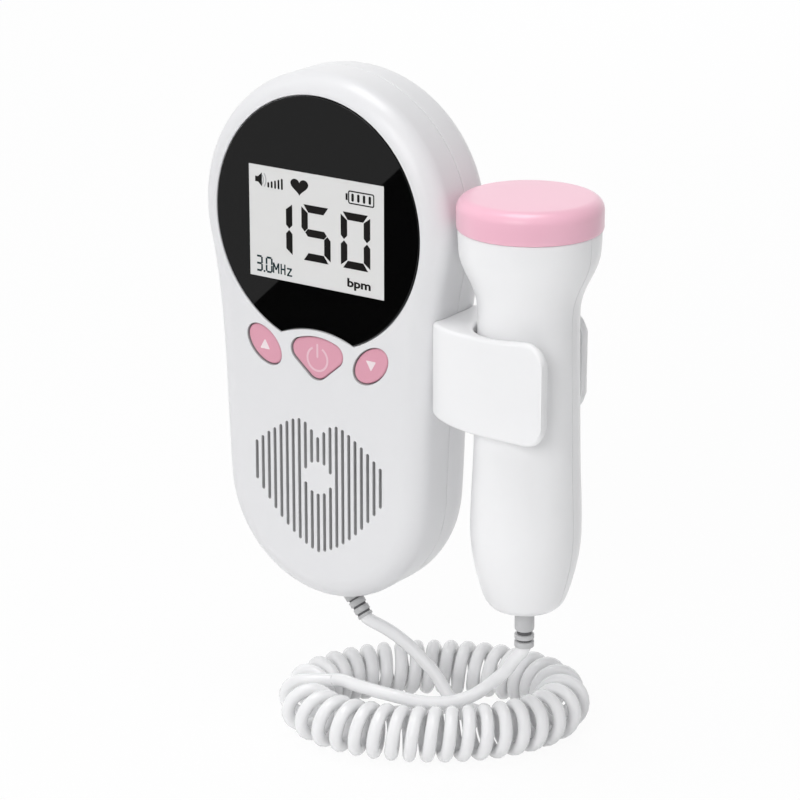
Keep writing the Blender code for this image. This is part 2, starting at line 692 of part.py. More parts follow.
def build_front_shell(white):
    """Front half of the casing with its recess, window, button holes, grille and bosses."""
    shape = shell_shape(FRONT_Y, PARTING_Y, FRONT_EDGE_RADIUS, SIDE_WALL, FACE_WALL, 4)
    shell = make_object("front_shell", *shape, white)
    sunk_y = FACE_INNER_Y - FACE_WALL / 2
    solids = []
    for place in post_places():
        solids.append(placed(shaft(POST_RADIUS, PARTING_Y - sunk_y), backward(sunk_y, place)))
    for place in boss_places():
        solids.append(placed(shaft(BOSS_RADIUS, BOARD_Y - SEAT_GAP - sunk_y), backward(sunk_y, place)))
    posts = make_object("front_posts", *join_shapes(solids), white)
    boolean(shell, posts, "UNION")
    before, behind = FRONT_Y - CUT_OVERRUN, FACE_INNER_Y + CUT_OVERRUN
    recess = make_object("lens_recess", *prism(lens_outline(SEAT_GAP), before, LENS_RECESS_Y), white)
    boolean(shell, recess, "DIFFERENCE")
    holes = slot_shapes()
    window = rounded_rectangle(WINDOW_HALF_WIDTH, -WINDOW_DROP - WINDOW_HALF_HEIGHT,
                               WINDOW_HALF_HEIGHT - WINDOW_DROP, CUT_OVERRUN)
    holes.append(prism(window, before, behind))
    for _, outline, x, z in button_outlines():
        holes.append(prism(shifted(grown(outline, BUTTON_FIT), x, z), before, behind))
    bore = CASE_SCREW_RADIUS + SEAT_GAP
    for place in post_places():
        start = PARTING_Y - POST_BORE_DEPTH
        holes.append(placed(shaft(bore, POST_BORE_DEPTH + CUT_OVERRUN), backward(start, place)))
    boss_end = BOARD_Y - SEAT_GAP
    depth = BOARD_SCREW_LENGTH - BOARD_THICKNESS + SEAT_GAP
    for place in boss_places():
        start = boss_end - depth
        holes.append(placed(shaft(BOARD_SCREW_RADIUS + SEAT_GAP, depth + CUT_OVERRUN), backward(start, place)))
    holes.append(relief_hole())
    boolean(shell, make_object("front_holes", *join_shapes(holes), white), "DIFFERENCE")
    return apply_cuts(shell)


def rear_post(place, start_y):
    """A screw post that runs back into the rear wall and follows its rounded edge."""
    x, z = place
    middle_z, outline_radius = (0, HEAD_RADIUS) if z > 0 else (FOOT_Z, FOOT_RADIUS)
    vertices, faces = placed(shaft(POST_RADIUS, -start_y), backward(start_y, place))
    for vertex in vertices:
        if vertex.y > start_y / 2:
            inset = outline_radius - math.hypot(vertex.x, vertex.z - middle_z)
            across = max(REAR_EDGE_RADIUS - inset, 0)
            rim_y = math.sqrt(REAR_EDGE_RADIUS ** 2 - across ** 2) - REAR_EDGE_RADIUS
            vertex.y = rim_y - REAR_WALL / 2
    return vertices, faces


def bay_cutter():
    """The bay for the cells and the shallow seat of its cover, as one stepped form."""
    bay = rounded_rectangle(BAY_HALF_WIDTH, BAY_BOTTOM_Z, BAY_TOP_Z, CUT_OVERRUN)
    seat = rounded_rectangle(COVER_HALF_WIDTH + SEAT_GAP, COVER_BOTTOM_Z - SEAT_GAP, COVER_TOP_Z + SEAT_GAP,
                             COVER_CORNER)
    ledge = -COVER_THICKNESS - SEAT_GAP
    return loft([flat_ring(bay, BAY_FLOOR_Y), flat_ring(bay, ledge), flat_ring(seat, ledge),
                 flat_ring(seat, CUT_OVERRUN)])


def build_rear_shell(white):
    """Rear half of the casing with its battery bay, screw posts and clip screw holes."""
    front_edge = PARTING_Y + SEAT_GAP
    shape = shell_shape(0, front_edge, REAR_EDGE_RADIUS, SIDE_WALL, REAR_WALL, 6)
    shell = make_object("rear_shell", *shape, white)
    bay = rounded_rectangle(BAY_HALF_WIDTH + BAY_WALL, BAY_BOTTOM_Z - BAY_WALL, BAY_TOP_Z + BAY_WALL, COVER_CORNER)
    solids = [prism(bay, BAY_FRONT_Y, -REAR_WALL / 2)]
    solids += [rear_post(place, front_edge) for place in post_places()]
    boolean(shell, make_object("rear_solids", *join_shapes(solids), white), "UNION")
    holes = [bay_cutter(), relief_hole()]
    bore = CASE_SCREW_RADIUS + SEAT_GAP
    well = CASE_SCREW_HEAD + SEAT_GAP
    start = front_edge - CUT_OVERRUN
    well_start = -CASE_SCREW_HEAD_HEIGHT - CASE_SCREW_SINK - SEAT_GAP - start
    length = CUT_OVERRUN - start
    profile = [(0, 0), (bore, 0), (bore, well_start), (well, well_start), (well, length), (0, length)]
    for place in post_places():
        holes.append(placed(turned(profile, SMALL_SIDES), backward(start, place)))
    for y, z in clip_screw_places():
        bar = shaft(CLIP_SCREW_RADIUS + SEAT_GAP, CLIP_SCREW_LENGTH + CUT_OVERRUN)
        inside_x = clip_screw_seat_x() - CLIP_SCREW_LENGTH - CUT_OVERRUN
        holes.append(placed(bar, along((1, 0, 0), (inside_x, y, z))))
    boolean(shell, make_object("rear_holes", *join_shapes(holes), white), "DIFFERENCE")
    return apply_cuts(shell)


def build_battery_cover(white):
    """Snap-in lid over the cells, with its origin on the hinge line at its lower edge."""
    height = COVER_TOP_Z - COVER_BOTTOM_Z
    outline = rounded_rectangle(COVER_HALF_WIDTH, 0, height, COVER_CORNER)
    location = (0, 0, COVER_BOTTOM_Z)
    cover = make_object("battery_cover", *prism(outline, -COVER_THICKNESS, 0), white, location)
    grooves = []
    for k in range(GRIP_GROOVES):
        middle = height - GRIP_EDGE_GAP - k * GRIP_PITCH
        groove = rounded_rectangle(GRIP_HALF_LENGTH, middle - GRIP_WIDTH / 2, middle + GRIP_WIDTH / 2,
                                   GRIP_WIDTH * 0.4, 2)
        grooves.append(prism(groove, -GRIP_DEPTH, CUT_OVERRUN))
    boolean(cover, make_object("cover_grooves", *join_shapes(grooves), white, location), "DIFFERENCE")
    return apply_cuts(cover)


def build_case_screws(steel):
    """Four screws from the back into the front shell's posts."""
    seat = -CASE_SCREW_HEAD_HEIGHT - CASE_SCREW_SINK
    for number, (x, z) in enumerate(post_places(), 1):
        shape = screw(CASE_SCREW_HEAD, CASE_SCREW_HEAD_HEIGHT, CASE_SCREW_RADIUS, CASE_SCREW_LENGTH)
        make_object(f"case_screw_{number}", *placed(shape, along((0, -1, 0), (0, 0, 0))), steel, (x, seat, z))


# Display and main board

def build_display(black, grey, pale):
    """Lens, display glass and backlight."""
    lens = prism(lens_outline(0), FRONT_Y, FRONT_Y + LENS_THICKNESS)
    make_object("display_lens", *lens, black)
    half_width = WINDOW_HALF_WIDTH + GLASS_BORDER
    bottom = -WINDOW_DROP - WINDOW_HALF_HEIGHT - GLASS_BORDER
    top = WINDOW_HALF_HEIGHT + GLASS_BORDER - WINDOW_DROP
    outline = rounded_rectangle(half_width, bottom, top, SWITCH_CORNER, 1)
    make_object("display_glass", *prism(outline, GLASS_Y, GLASS_Y + GLASS_THICKNESS), grey)
    make_object("display_backlight", *prism(outline, BACKLIGHT_Y, BACKLIGHT_Y + BACKLIGHT_THICKNESS), pale)


def build_board(green, dark, steel):
    """Main board with its two chips, and the screws that hold it to the front shell."""
    corner = BOARD_HALF_WIDTH * BOARD_CORNER_SHARE
    outline = rounded_rectangle(BOARD_HALF_WIDTH, board_bottom_z(), BOARD_TOP_Z, corner)
    board = make_object("main_board", *prism(outline, BOARD_Y, BOARD_REAR_Y), green)
    holes = []
    for place in boss_places():
        bar = shaft(BOARD_SCREW_RADIUS + SEAT_GAP, BOARD_THICKNESS + 2 * CUT_OVERRUN)
        holes.append(placed(bar, backward(BOARD_Y - CUT_OVERRUN, place)))
    boolean(board, make_object("board_holes", *join_shapes(holes), green), "DIFFERENCE")
    apply_cuts(board)
    rear = BOARD_REAR_Y + SEAT_GAP
    half = CHIP_SIZE / 2
    chip = rounded_rectangle(half, -half - CHIP_DROP, half - CHIP_DROP, SWITCH_CORNER, 1)
    make_object("processor_chip", *prism(chip, rear, rear + CHIP_HEIGHT), dark)
    small = AMPLIFIER_SIZE / 2
    amplifier = rounded_rectangle(small, -small - CHIP_DROP, small - CHIP_DROP, SWITCH_CORNER, 1)
    amplifier = shifted(amplifier, CHIP_SIZE + AMPLIFIER_SIZE, 0)
    make_object("amplifier_chip", *prism(amplifier, rear, rear + CHIP_HEIGHT), dark)
    for number, (x, z) in enumerate(boss_places(), 1):
        shape = screw(BOARD_SCREW_HEAD, BOARD_SCREW_HEAD_HEIGHT, BOARD_SCREW_RADIUS, BOARD_SCREW_LENGTH)
        make_object(f"board_screw_{number}", *placed(shape, along((0, -1, 0), (0, 0, 0))), steel, (x, rear, z))


def build_buttons(pink, dark):
    """Three buttons that slide through the face, each over its switch on the board."""
    top_y = FRONT_Y + BUTTON_SINK
    flange_y = FACE_INNER_Y + SEAT_GAP
    flange_end = flange_y + BUTTON_FLANGE_DEPTH
    switch_y = flange_end + BUTTON_TRAVEL + SWITCH_AIR
    for name, outline, x, z in button_outlines():
        location = (x, top_y, z)
        levels = [(-BUTTON_EDGE, 0), (0, BUTTON_EDGE), (0, flange_y - top_y), (BUTTON_FLANGE, flange_y - top_y),
                  (BUTTON_FLANGE, flange_end - top_y)]
        rings = [flat_ring(grown(outline, offset), y) for offset, y in levels]
        make_object(name, *loft(rings), pink, location)
        body_end = BOARD_Y - SEAT_GAP
        height = body_end - switch_y
        half = SWITCH_SIZE / 2
        square = rounded_rectangle(half, -half, half, SWITCH_CORNER, 2)
        stem = [(SWITCH_STEM_RADIUS * math.cos(math.atan2(v, u)), SWITCH_STEM_RADIUS * math.sin(math.atan2(v, u)))
                for u, v in square]
        stem_end = height * (1 - SWITCH_BODY_SHARE)
        rings = [flat_ring(stem, 0), flat_ring(stem, stem_end), flat_ring(square, stem_end),
                 flat_ring(square, height)]
        switch_name = name.replace("_button", "_switch")
        make_object(switch_name, *loft(rings), dark, (x, switch_y, z))


# Speaker

def build_speaker(dark, steel):
    """Cloth behind the grille, then the speaker's cone, frame and magnet."""
    cloth = heart_outline(CLOTH_MARGIN)
    cloth_y = FACE_INNER_Y + SEAT_GAP
    make_object("grille_cloth", *prism(cloth, cloth_y, cloth_y + CLOTH_THICKNESS), dark)
    frame_y = cloth_y + CLOTH_THICKNESS + SEAT_GAP
    frame = [(r * SPEAKER_RADIUS, h * SPEAKER_FRAME_DEPTH) for r, h in FRAME_SHARES]
    cone = [(r * SPEAKER_RADIUS, h * SPEAKER_FRAME_DEPTH) for r, h in CONE_SHARES]
    location = (0, frame_y, FOOT_Z)
    turn = along((0, 1, 0), (0, 0, 0))
    make_object("speaker_frame", *placed(turned(frame, ROUND_SIDES), turn), steel, location)
    make_object("speaker_cone", *placed(turned(cone, ROUND_SIDES), turn), dark, location)
    magnet_y = frame_y + SPEAKER_FRAME_DEPTH + SEAT_GAP
    magnet = shaft(MAGNET_RADIUS, BAY_FRONT_Y - SEAT_GAP - magnet_y, ROUND_SIDES)
    make_object("speaker_magnet", *placed(magnet, turn), dark, (0, magnet_y, FOOT_Z))


# Cells, springs and contacts

def helix(foot_radius, tip_radius, length, turns, points):
    """Points of a coned spring up the local Z axis."""
    count = turns * points
    path = []
    for k in range(count + 1):
        t = k / count
        radius = foot_radius + (tip_radius - foot_radius) * t
        angle = 2 * math.pi * turns * t
        path.append(Vector((radius * math.cos(angle), radius * math.sin(angle), length * t)))
    return path


def build_cells(dark, steel):
    """Two AA cells, one either way up, each between its spring and its contact plate."""
    nub_start = CELL_LENGTH - CELL_NUB_LENGTH
    profile = [(0, 0), (CELL_RADIUS - CELL_EDGE, 0), (CELL_RADIUS, CELL_EDGE), (CELL_RADIUS, nub_start - CELL_EDGE),
               (CELL_RADIUS - CELL_EDGE, nub_start), (CELL_NUB_RADIUS, nub_start), (CELL_NUB_RADIUS, CELL_LENGTH),
               (0, CELL_LENGTH)]
    wire = SPRING_WIRE / 2
    for name, side in (("left", -1), ("right", 1)):
        x = side * CELL_X
        upright = side < 0
        heading = (0, 0, 1) if upright else (0, 0, -1)
        foot_z = BAY_BOTTOM_Z if upright else BAY_TOP_Z
        up = heading[2]
        spring_z = foot_z + up * SEAT_GAP
        cell_z = spring_z + up * (SPRING_LENGTH + SEAT_GAP)
        contact_z = cell_z + up * (CELL_LENGTH + SEAT_GAP)
        cell = placed(turned(profile, ROUND_SIDES), along(heading, (0, 0, 0)))
        make_object(f"{name}_cell", *cell, dark, (x, CELL_Y, cell_z))
        turn = along(heading, (x, CELL_Y, spring_z + up * wire))
        path = helix(SPRING_FOOT_RADIUS, SPRING_TIP_RADIUS, SPRING_LENGTH - SPRING_WIRE, SPRING_TURNS, SPRING_POINTS)
        path = [turn @ p for p in path]
        tube_object(f"{name}_cell_spring", path, SPRING_WIRE, steel, 1)
        print(f"{name}_cell_spring least gap {least_gap(path, SPRING_WIRE, SPRING_POINTS) / MM:.2f} mm")
        half = CONTACT_SIZE / 2
        low = min(contact_z, contact_z + up * CONTACT_THICKNESS)
        plate = rounded_rectangle(half, low, low + CONTACT_THICKNESS, CONTACT_THICKNESS / 4, 1)
        make_object(f"{name}_cell_contact", *prism(plate, CELL_Y - half, CELL_Y + half), steel, (x, 0, 0))


# Probe

def handle_profile():
    """(radius, height) down the outside of the probe's shell, heights from the seam."""
    return [(radius * CAP_RADIUS, -drop * PROBE_LENGTH) for drop, radius in HANDLE_SHARES]


def handle_radius(height):
    """Outer radius of the probe's shell at a height below the seam."""
    profile = handle_profile()
    for (r0, h0), (r1, h1) in zip(profile, profile[1:]):
        if h0 >= height >= h1:
            return r0 + (r1 - r0) * (height - h0) / (h1 - h0)
    return profile[-1][0]


def build_probe(white, pink, steel, green, dark):
    """Two half shells, end cap, transducer, board and strain relief on one carrier."""
    carrier = make_carrier("probe_carrier", (PROBE_X, PROBE_Y, CAP_SEAM_Z))
    outer = handle_profile()
    relief_bore = PROBE_RELIEF_RADIUS * RELIEF_NECK_SHARE + SEAT_GAP
    floor = -PROBE_LENGTH + PROBE_WALL
    inner = [(r - PROBE_WALL, h) for r, h in outer[::2] if h > floor + PROBE_WALL]
    top = -SEAT_GAP / 2
    outer[0] = (outer[0][0], top)
    inner[0] = (inner[0][0], top)
    last = handle_radius(floor) - PROBE_WALL
    profile = outer + [(relief_bore, -PROBE_LENGTH), (relief_bore, floor), (last, floor)] + list(reversed(inner))
    sides = ROUND_SIDES // 2
    front = turned(profile, sides, math.pi, math.pi)
    rear = turned(profile, sides, 0, math.pi)
    half_gap = SEAT_GAP / 2
    make_object("probe_front_shell", *front, white, (0, -half_gap, 0), carrier)
    make_object("probe_rear_shell", *rear, white, (0, half_gap, 0), carrier)
    build_cap(pink, carrier)
    roof = CAP_HEIGHT - CAP_WALL - SEAT_GAP
    crystal_z = roof - CRYSTAL_THICKNESS
    holder_radius = CAP_RADIUS - CAP_WALL - SEAT_GAP
    holder = shaft(holder_radius, HOLDER_THICKNESS, ROUND_SIDES)
    make_object("transducer_holder", *holder, dark, (0, 0, crystal_z - SEAT_GAP - HOLDER_THICKNESS), carrier)
    for name, side in (("transmit_crystal", -1), ("receive_crystal", 1)):
        outline = arc((0, 0), CRYSTAL_RADIUS, 0, math.pi, SMALL_SIDES)
        rings = [[(x, side * y, z) for x, y in outline] for z in (0, CRYSTAL_THICKNESS)]
        make_object(name, *loft(rings), steel, (0, side * SEAT_GAP, crystal_z), carrier)
    build_probe_board(green, carrier)
    build_probe_relief(white, carrier)


def build_cap(pink, carrier):
    """The pink end cap: a shallow cup with a well rounded edge."""
    low = SEAT_GAP / 2
    outer = [(CAP_RADIUS * 0.995, low), (CAP_RADIUS, low + CAP_EDGE / 4), (CAP_RADIUS, CAP_HEIGHT - CAP_EDGE)]
    middle = CAP_RADIUS - CAP_EDGE
    for k in range(1, 5):
        angle = math.pi / 2 * k / 4
        outer.append((middle + CAP_EDGE * math.cos(angle), CAP_HEIGHT - CAP_EDGE + CAP_EDGE * math.sin(angle)))
    roof = CAP_HEIGHT - CAP_WALL
    inside = CAP_RADIUS - CAP_WALL
    corner = CAP_EDGE - CAP_WALL
    profile = [(0, CAP_HEIGHT)] + list(reversed(outer)) + [(inside, low), (inside, roof - corner),
                                                           (inside - corner, roof), (0, roof)]
    make_object("probe_cap", *turned(profile, ROUND_SIDES + 8), pink, (0, 0, 0), carrier)


def build_probe_board(green, carrier):
    """A narrow board that stands on the parting plane inside the handle."""
    top = -PROBE_BOARD_DROP
    bottom = top - PROBE_BOARD_LENGTH
    narrowest = min(handle_radius(top - PROBE_BOARD_LENGTH * k / 20) for k in range(21))
    half_depth = BOARD_THICKNESS / 2
    inside = narrowest - PROBE_WALL
    half_width = math.sqrt(inside ** 2 - half_depth ** 2) - PROBE_BOARD_EDGE_GAP
    outline = rounded_rectangle(half_width, bottom, top, SWITCH_CORNER, 1)
    make_object("probe_board", *prism(outline, -half_depth, half_depth), green, (0, 0, 0), carrier)


def relief_profile(radius, tip_radius, outside, grooves, inside_neck):
    """(radius, height) of a strain relief, its mouth at height 0 and its tip downwards.

    Above the mouth a neck passes the wall and ends in a flange. Below it comes a tapering
    sleeve with a groove at each pair of shares of its length.
    """
    neck = radius * RELIEF_NECK_SHARE
    flange_low = inside_neck + SEAT_GAP
    profile = [(0, flange_low + RELIEF_FLANGE_DEPTH), (RELIEF_FLANGE, flange_low + RELIEF_FLANGE_DEPTH),
               (RELIEF_FLANGE, flange_low), (neck, flange_low), (neck, -SEAT_GAP), (radius, -SEAT_GAP)]
    for first, last in grooves:
        for share in (first, last):
            sleeve = radius + (tip_radius - radius) * share
            edge = [(sleeve, -share * outside), (neck, -share * outside)]
            profile += edge if share == first else reversed(edge)
    profile += [(tip_radius, -outside), (0, -outside)]
    return profile


def build_probe_relief(white, carrier):
    """Strain relief straight down from the probe's foot."""
    profile = relief_profile(PROBE_RELIEF_RADIUS, PROBE_RELIEF_RADIUS, PROBE_RELIEF_OUTSIDE, PROBE_GROOVES,
                             PROBE_WALL)
    make_object("probe_strain_relief", *turned(profile, SMALL_SIDES), white, (0, 0, -PROBE_LENGTH), carrier)


def relief_axis():
    """Mouth and direction of the casing's strain relief."""
    direction = Vector((math.sin(RELIEF_TILT), 0, -math.cos(RELIEF_TILT)))
    mouth = Vector((RELIEF_X, PARTING_Y + SEAT_GAP / 2, CASING_BOTTOM_Z))
    return mouth, direction


def relief_neck_length():
    """How far the tilted neck runs inwards before its flange clears the curved wall."""
    mouth, direction = relief_axis()
    down_left = Vector((-math.cos(RELIEF_TILT), 0, -math.sin(RELIEF_TILT)))
    length, outwards = 0.0, FOOT_RADIUS
    while outwards > FOOT_RADIUS - SIDE_WALL:
        length += SEAT_GAP
        corner = mouth - direction * length + down_left * RELIEF_FLANGE
        outwards = math.hypot(corner.x, corner.z - FOOT_Z)
    return length


def relief_lead_in():
    """How far the sleeve stands off, so that its tilted shoulder clears the wall."""
    return RELIEF_RADIUS * math.tan(RELIEF_TILT) + SEAT_GAP


def relief_hole():
    """Cutter along the tilted strain relief, through the casing's foot."""
    mouth, direction = relief_axis()
    radius = RELIEF_RADIUS * RELIEF_NECK_SHARE + SEAT_GAP
    length = relief_neck_length() + relief_lead_in() + 2 * CUT_OVERRUN
    start = mouth + direction * (relief_lead_in() + CUT_OVERRUN)
    return placed(shaft(radius, length), along(-direction, start))


def build_casing_relief(white):
    """Strain relief at the casing's foot, tilted towards the probe."""
    mouth, direction = relief_axis()
    lead_in = relief_lead_in()
    profile = relief_profile(RELIEF_RADIUS, RELIEF_TIP_RADIUS, RELIEF_OUTSIDE - lead_in, UNIT_GROOVES,
                             relief_neck_length() + lead_in)
    origin = mouth + direction * lead_in
    make_object("unit_strain_relief", *placed(turned(profile, SMALL_SIDES), along(-direction, origin)), white)


# Clip

def clip_web_x():
    """Inner face of the clip's web, beside the handle."""
    return PROBE_X - CLIP_GRIP_RADIUS - CLIP_FIT


def clip_screw_seat_x():
    """Where the heads of the clip screws sit in the web."""
    return clip_web_x() - CLIP_SCREW_SINK - CLIP_SCREW_HEAD_HEIGHT


def clip_screw_places():
    """(y, z) of the two clip screws."""
    middle = CLIP_TOP_Z - CLIP_HEIGHT / 2
    half = CLIP_SCREW_SPACING / 2
    y = PROBE_Y + CLIP_SCREW_BEHIND
    return [(y, middle + half), (y, middle - half)]


def clip_arm(reach, side):
    """Stations (outer point, inner point, top, bottom) of one arm, from its free end to its root.

    side is -1 for the front arm. The root runs into the casing, which is cut away later.
    """
    grip = CLIP_GRIP_RADIUS + CLIP_FIT
    inner_y = PROBE_Y + side * grip
    outer_y = inner_y + side * CLIP_WALL
    bottom = CLIP_TOP_Z - CLIP_HEIGHT
    stations = []
    for k in range(6):
        angle = math.pi / 2 * k / 5
        x = PROBE_X + reach - CLIP_CORNER * (1 - math.cos(angle))
        lost = CLIP_CORNER * (1 - math.sin(angle))
        stations.append(((x, outer_y), (x, inner_y), CLIP_TOP_Z + CLIP_END_RISE - lost, bottom + lost))
    for k in range(9):
        angle = math.pi / 2 * k / 8
        across, over = math.sin(angle), 1 - math.cos(angle)
        inner = (PROBE_X - grip * across, inner_y - side * grip * over)
        outer = (PROBE_X - CLIP_ROOT_REACH * across, outer_y - side * CLIP_ROOT_DEPTH * over)
        taper = CLIP_ROOT_TAPER * k / 8
        stations.append((outer, inner, CLIP_TOP_Z - taper, bottom + taper))
    return stations


def build_clip(white):
    """U-shaped clip, cut to the casing's side, with two counterbored screw holes."""
    front = clip_arm(CLIP_FRONT_REACH, -1)
    rear = clip_arm(CLIP_REAR_REACH, 1)
    rings = []
    for outer, inner, high, low in front + list(reversed(rear[:-1])):
        rings.append([(*outer, high), (*outer, low), (*inner, low), (*inner, high)])
    clip = make_object("probe_clip", *loft(rings), white)
    boolean(clip, make_object("clip_saddle", *casing_envelope(SEAT_GAP), white), "DIFFERENCE")
    holes = []
    seat = clip_screw_seat_x() - SEAT_GAP
    bore = CLIP_SCREW_RADIUS + SEAT_GAP
    well = CLIP_SCREW_HEAD + SEAT_GAP
    for y, z in clip_screw_places():
        length = CLIP_SCREW_LENGTH
        profile = [(0, -length), (bore, -length), (bore, 0), (well, 0), (well, length), (0, length)]
        holes.append(placed(turned(profile, SMALL_SIDES), along((1, 0, 0), (seat, y, z))))
    boolean(clip, make_object("clip_holes", *join_shapes(holes), white), "DIFFERENCE")
    return apply_cuts(clip)


def build_clip_screws(steel):
    """Two screws through the clip's web into the casing's side."""
    seat = clip_screw_seat_x()
    for number, (y, z) in enumerate(clip_screw_places(), 1):
        shape = screw(CLIP_SCREW_HEAD, CLIP_SCREW_HEAD_HEIGHT, CLIP_SCREW_RADIUS, CLIP_SCREW_LENGTH)
        make_object(f"clip_screw_{number}", *placed(shape, along((-1, 0, 0), (0, 0, 0))), steel, (seat, y, z))


# Cord

def tube_object(name, path, diameter, material, resolution):
    """A round tube along a path, with filled caps."""
    curve = bpy.data.curves.new(name, "CURVE")
    curve.dimensions = "3D"
    curve.bevel_depth = diameter / 2
    curve.bevel_resolution = resolution
    curve.use_fill_caps = True
    spline = curve.splines.new("POLY")
    spline.points.add(len(path) - 1)
    for point, place in zip(spline.points, path):
        point.co = (*place, 1.0)
    curve.materials.append(material)
    obj = bpy.data.objects.new(name, curve)
    bpy.context.scene.collection.objects.link(obj)
    return obj


def least_gap(path, diameter, points_per_turn):
    """Least gap between the tube's turns, measured between points half a turn or more apart."""
    least = math.inf
    apart = points_per_turn // 2
    for i, one in enumerate(path):
        for two in path[i + apart:i + 3 * points_per_turn]:
            least = min(least, (one - two).length)
    for i, one in enumerate(path):
        for two in path[i + 3 * points_per_turn:]:
            least = min(least, (one - two).length)
    return least - diameter


def ring_point(along, across, height):
    """A place by its shares of the ring's half length, half width and the curls' height."""
    a, b = along * RING_HALF_LENGTH, across * RING_HALF_WIDTH
    x = a * math.cos(RING_TURN) - b * math.sin(RING_TURN)
    y = a * math.sin(RING_TURN) + b * math.cos(RING_TURN)
    return Vector((RING_X + x, RING_Y + y, FLOOR_Z + height * CURL_HEIGHT))


def ring_path():
    """Evenly spaced points once round the ring from its far left, clockwise from above."""
    count = 1440
    angles = [math.pi - 2 * math.pi * k / count for k in range(count + 1)]
    fine = [ring_point(math.cos(a), math.sin(a), 1 / 2) for a in angles]
    return even_path(fine, count // 2)


def even_path(fine, count):
    """The same line with its points at equal distances, in count steps."""
    lengths = [0.0]
    for one, two in zip(fine, fine[1:]):
        lengths.append(lengths[-1] + (two - one).length)
    path, j = [], 0
    for k in range(count + 1):
        goal = lengths[-1] * k / count
        while j < len(lengths) - 2 and lengths[j + 1] < goal:
            j += 1
        share = (goal - lengths[j]) / (lengths[j + 1] - lengths[j])
        path.append(fine[j].lerp(fine[j + 1], share))
    return path


def ring_frames():
    """(place, outward direction, share of a curl gained per step) along the ring."""
    path = ring_path()
    count = len(path) - 1
    step = (path[1] - path[0]).length
    pitch = CORD_DIAMETER + CURL_AIR
    frames = []
    for k in range(count):
        ahead = (path[(k + 1) % count] - path[k]).normalized()
        before = (path[k] - path[k - 1 if k else count - 1]).normalized()
        tangent = (ahead + before).normalized()
        outward = Vector((-tangent.y, tangent.x, 0))
        bend = ahead.angle(before) / step
        inner_step = step * (1 - CURL_RADIUS * bend)
        frames.append((path[k], outward, tangent, inner_step / pitch))
    return frames


def coil_path():
    """Centre line of the curly cord.

    It starts at the top of a curl, heading outwards, and ends at the bottom of the last curl,
    heading inwards. Curls are closest together on the inside of the ring.
    """
    frames = ring_frames()
    total = sum(frame[3] for frame in frames)
    curls = math.floor(total) - 0.5
    scale = (curls + 0.5) / total
    turns = [0.0]
    for frame in frames:
        turns.append(turns[-1] + frame[3] * scale)
    points = []
    count = int(round(curls * CURL_POINTS * 2)) // 2
    j = 0
    for k in range(count + 1):
        goal = curls * k / count
        while j < len(frames) - 1 and turns[j + 1] < goal:
            j += 1
        share = (goal - turns[j]) / (turns[j + 1] - turns[j])
        place, outward, tangent, _ = frames[j]
        following = frames[(j + 1) % len(frames)]
        middle = place.lerp(following[0], share)
        side = outward.lerp(following[1], share).normalized()
        angle = 2 * math.pi * goal
        points.append(middle + CURL_RADIUS * (side * math.sin(angle) + Vector((0, 0, math.cos(angle)))))
    start_heading = frames[0][1]
    end_heading = -side
    points.insert(0, points[0] - start_heading * CORD_DIAMETER)
    points.append(points[-1] + end_heading * CORD_DIAMETER)
    return points, start_heading, end_heading


def smooth_path(points, step):
    """A lead's path: straight first and last stretches, and a smooth curve between them."""
    nodes = [Vector(p) for p in points]
    fine = []
    for p0, p1, p2, p3 in zip(nodes, nodes[1:], nodes[2:], nodes[3:]):
        for k in range(12):
            t = k / 12
            fine.append(0.5 * (2 * p1 + (p2 - p0) * t + (2 * p0 - 5 * p1 + 4 * p2 - p3) * t ** 2
                               + (3 * p1 - p0 - 3 * p2 + p3) * t ** 3))
    fine.append(nodes[-2])
    curved = sum((two - one).length for one, two in zip(fine, fine[1:]))
    path = [nodes[0]] + even_path(fine, max(2, round(curved / step))) + [nodes[-1]]
    return path, curved + (nodes[1] - nodes[0]).length + (nodes[-1] - nodes[-2]).length


def build_cord(white):
    """The lead from the casing, the curly ring and the lead to the probe."""
    coil, start_heading, end_heading = coil_path()
    tube_object("curly_coil", coil, CORD_DIAMETER, white, 1)
    coil_length = sum((b - a).length for a, b in zip(coil, coil[1:]))
    print(f"curly_coil least gap {least_gap(coil, CORD_DIAMETER, CURL_POINTS) / MM:.2f} mm")

    mouth, direction = relief_axis()
    tip = mouth + direction * (RELIEF_OUTSIDE + SEAT_GAP)
    coil_end = coil[-1] + end_heading * SEAT_GAP
    unit_route = [tip, tip + direction * CORD_DIAMETER] + [ring_point(*shares) for shares in UNIT_ROUTE]
    unit_route += [coil_end + end_heading * CORD_DIAMETER, coil_end]
    unit, unit_length = smooth_path(unit_route, LEAD_STEP)
    tube_object("unit_lead", unit, CORD_DIAMETER, white, 2)

    probe_tip = Vector((PROBE_X, PROBE_Y, PROBE_BOTTOM_Z - PROBE_RELIEF_OUTSIDE - SEAT_GAP))
    coil_start = coil[0] - start_heading * SEAT_GAP
    probe_route = [probe_tip, probe_tip - Vector((0, 0, CORD_DIAMETER))]
    probe_route += [ring_point(*shares) for shares in PROBE_ROUTE]
    probe_route += [coil_start - start_heading * CORD_DIAMETER, coil_start]
    probe, probe_length = smooth_path(probe_route, LEAD_STEP)
    tube_object("probe_lead", probe, CORD_DIAMETER, white, 2)
    print(f"cord lengths: unit lead {unit_length:.3f} m, coil {coil_length:.3f} m, probe lead {probe_length:.3f} m")
    print(f"curls {len(coil) / CURL_POINTS:.1f}")
    near = min((a - b).length for a in coil[2:-2] for b in unit + probe) - CORD_DIAMETER
    print(f"leads to curls {near / MM:.2f} mm")


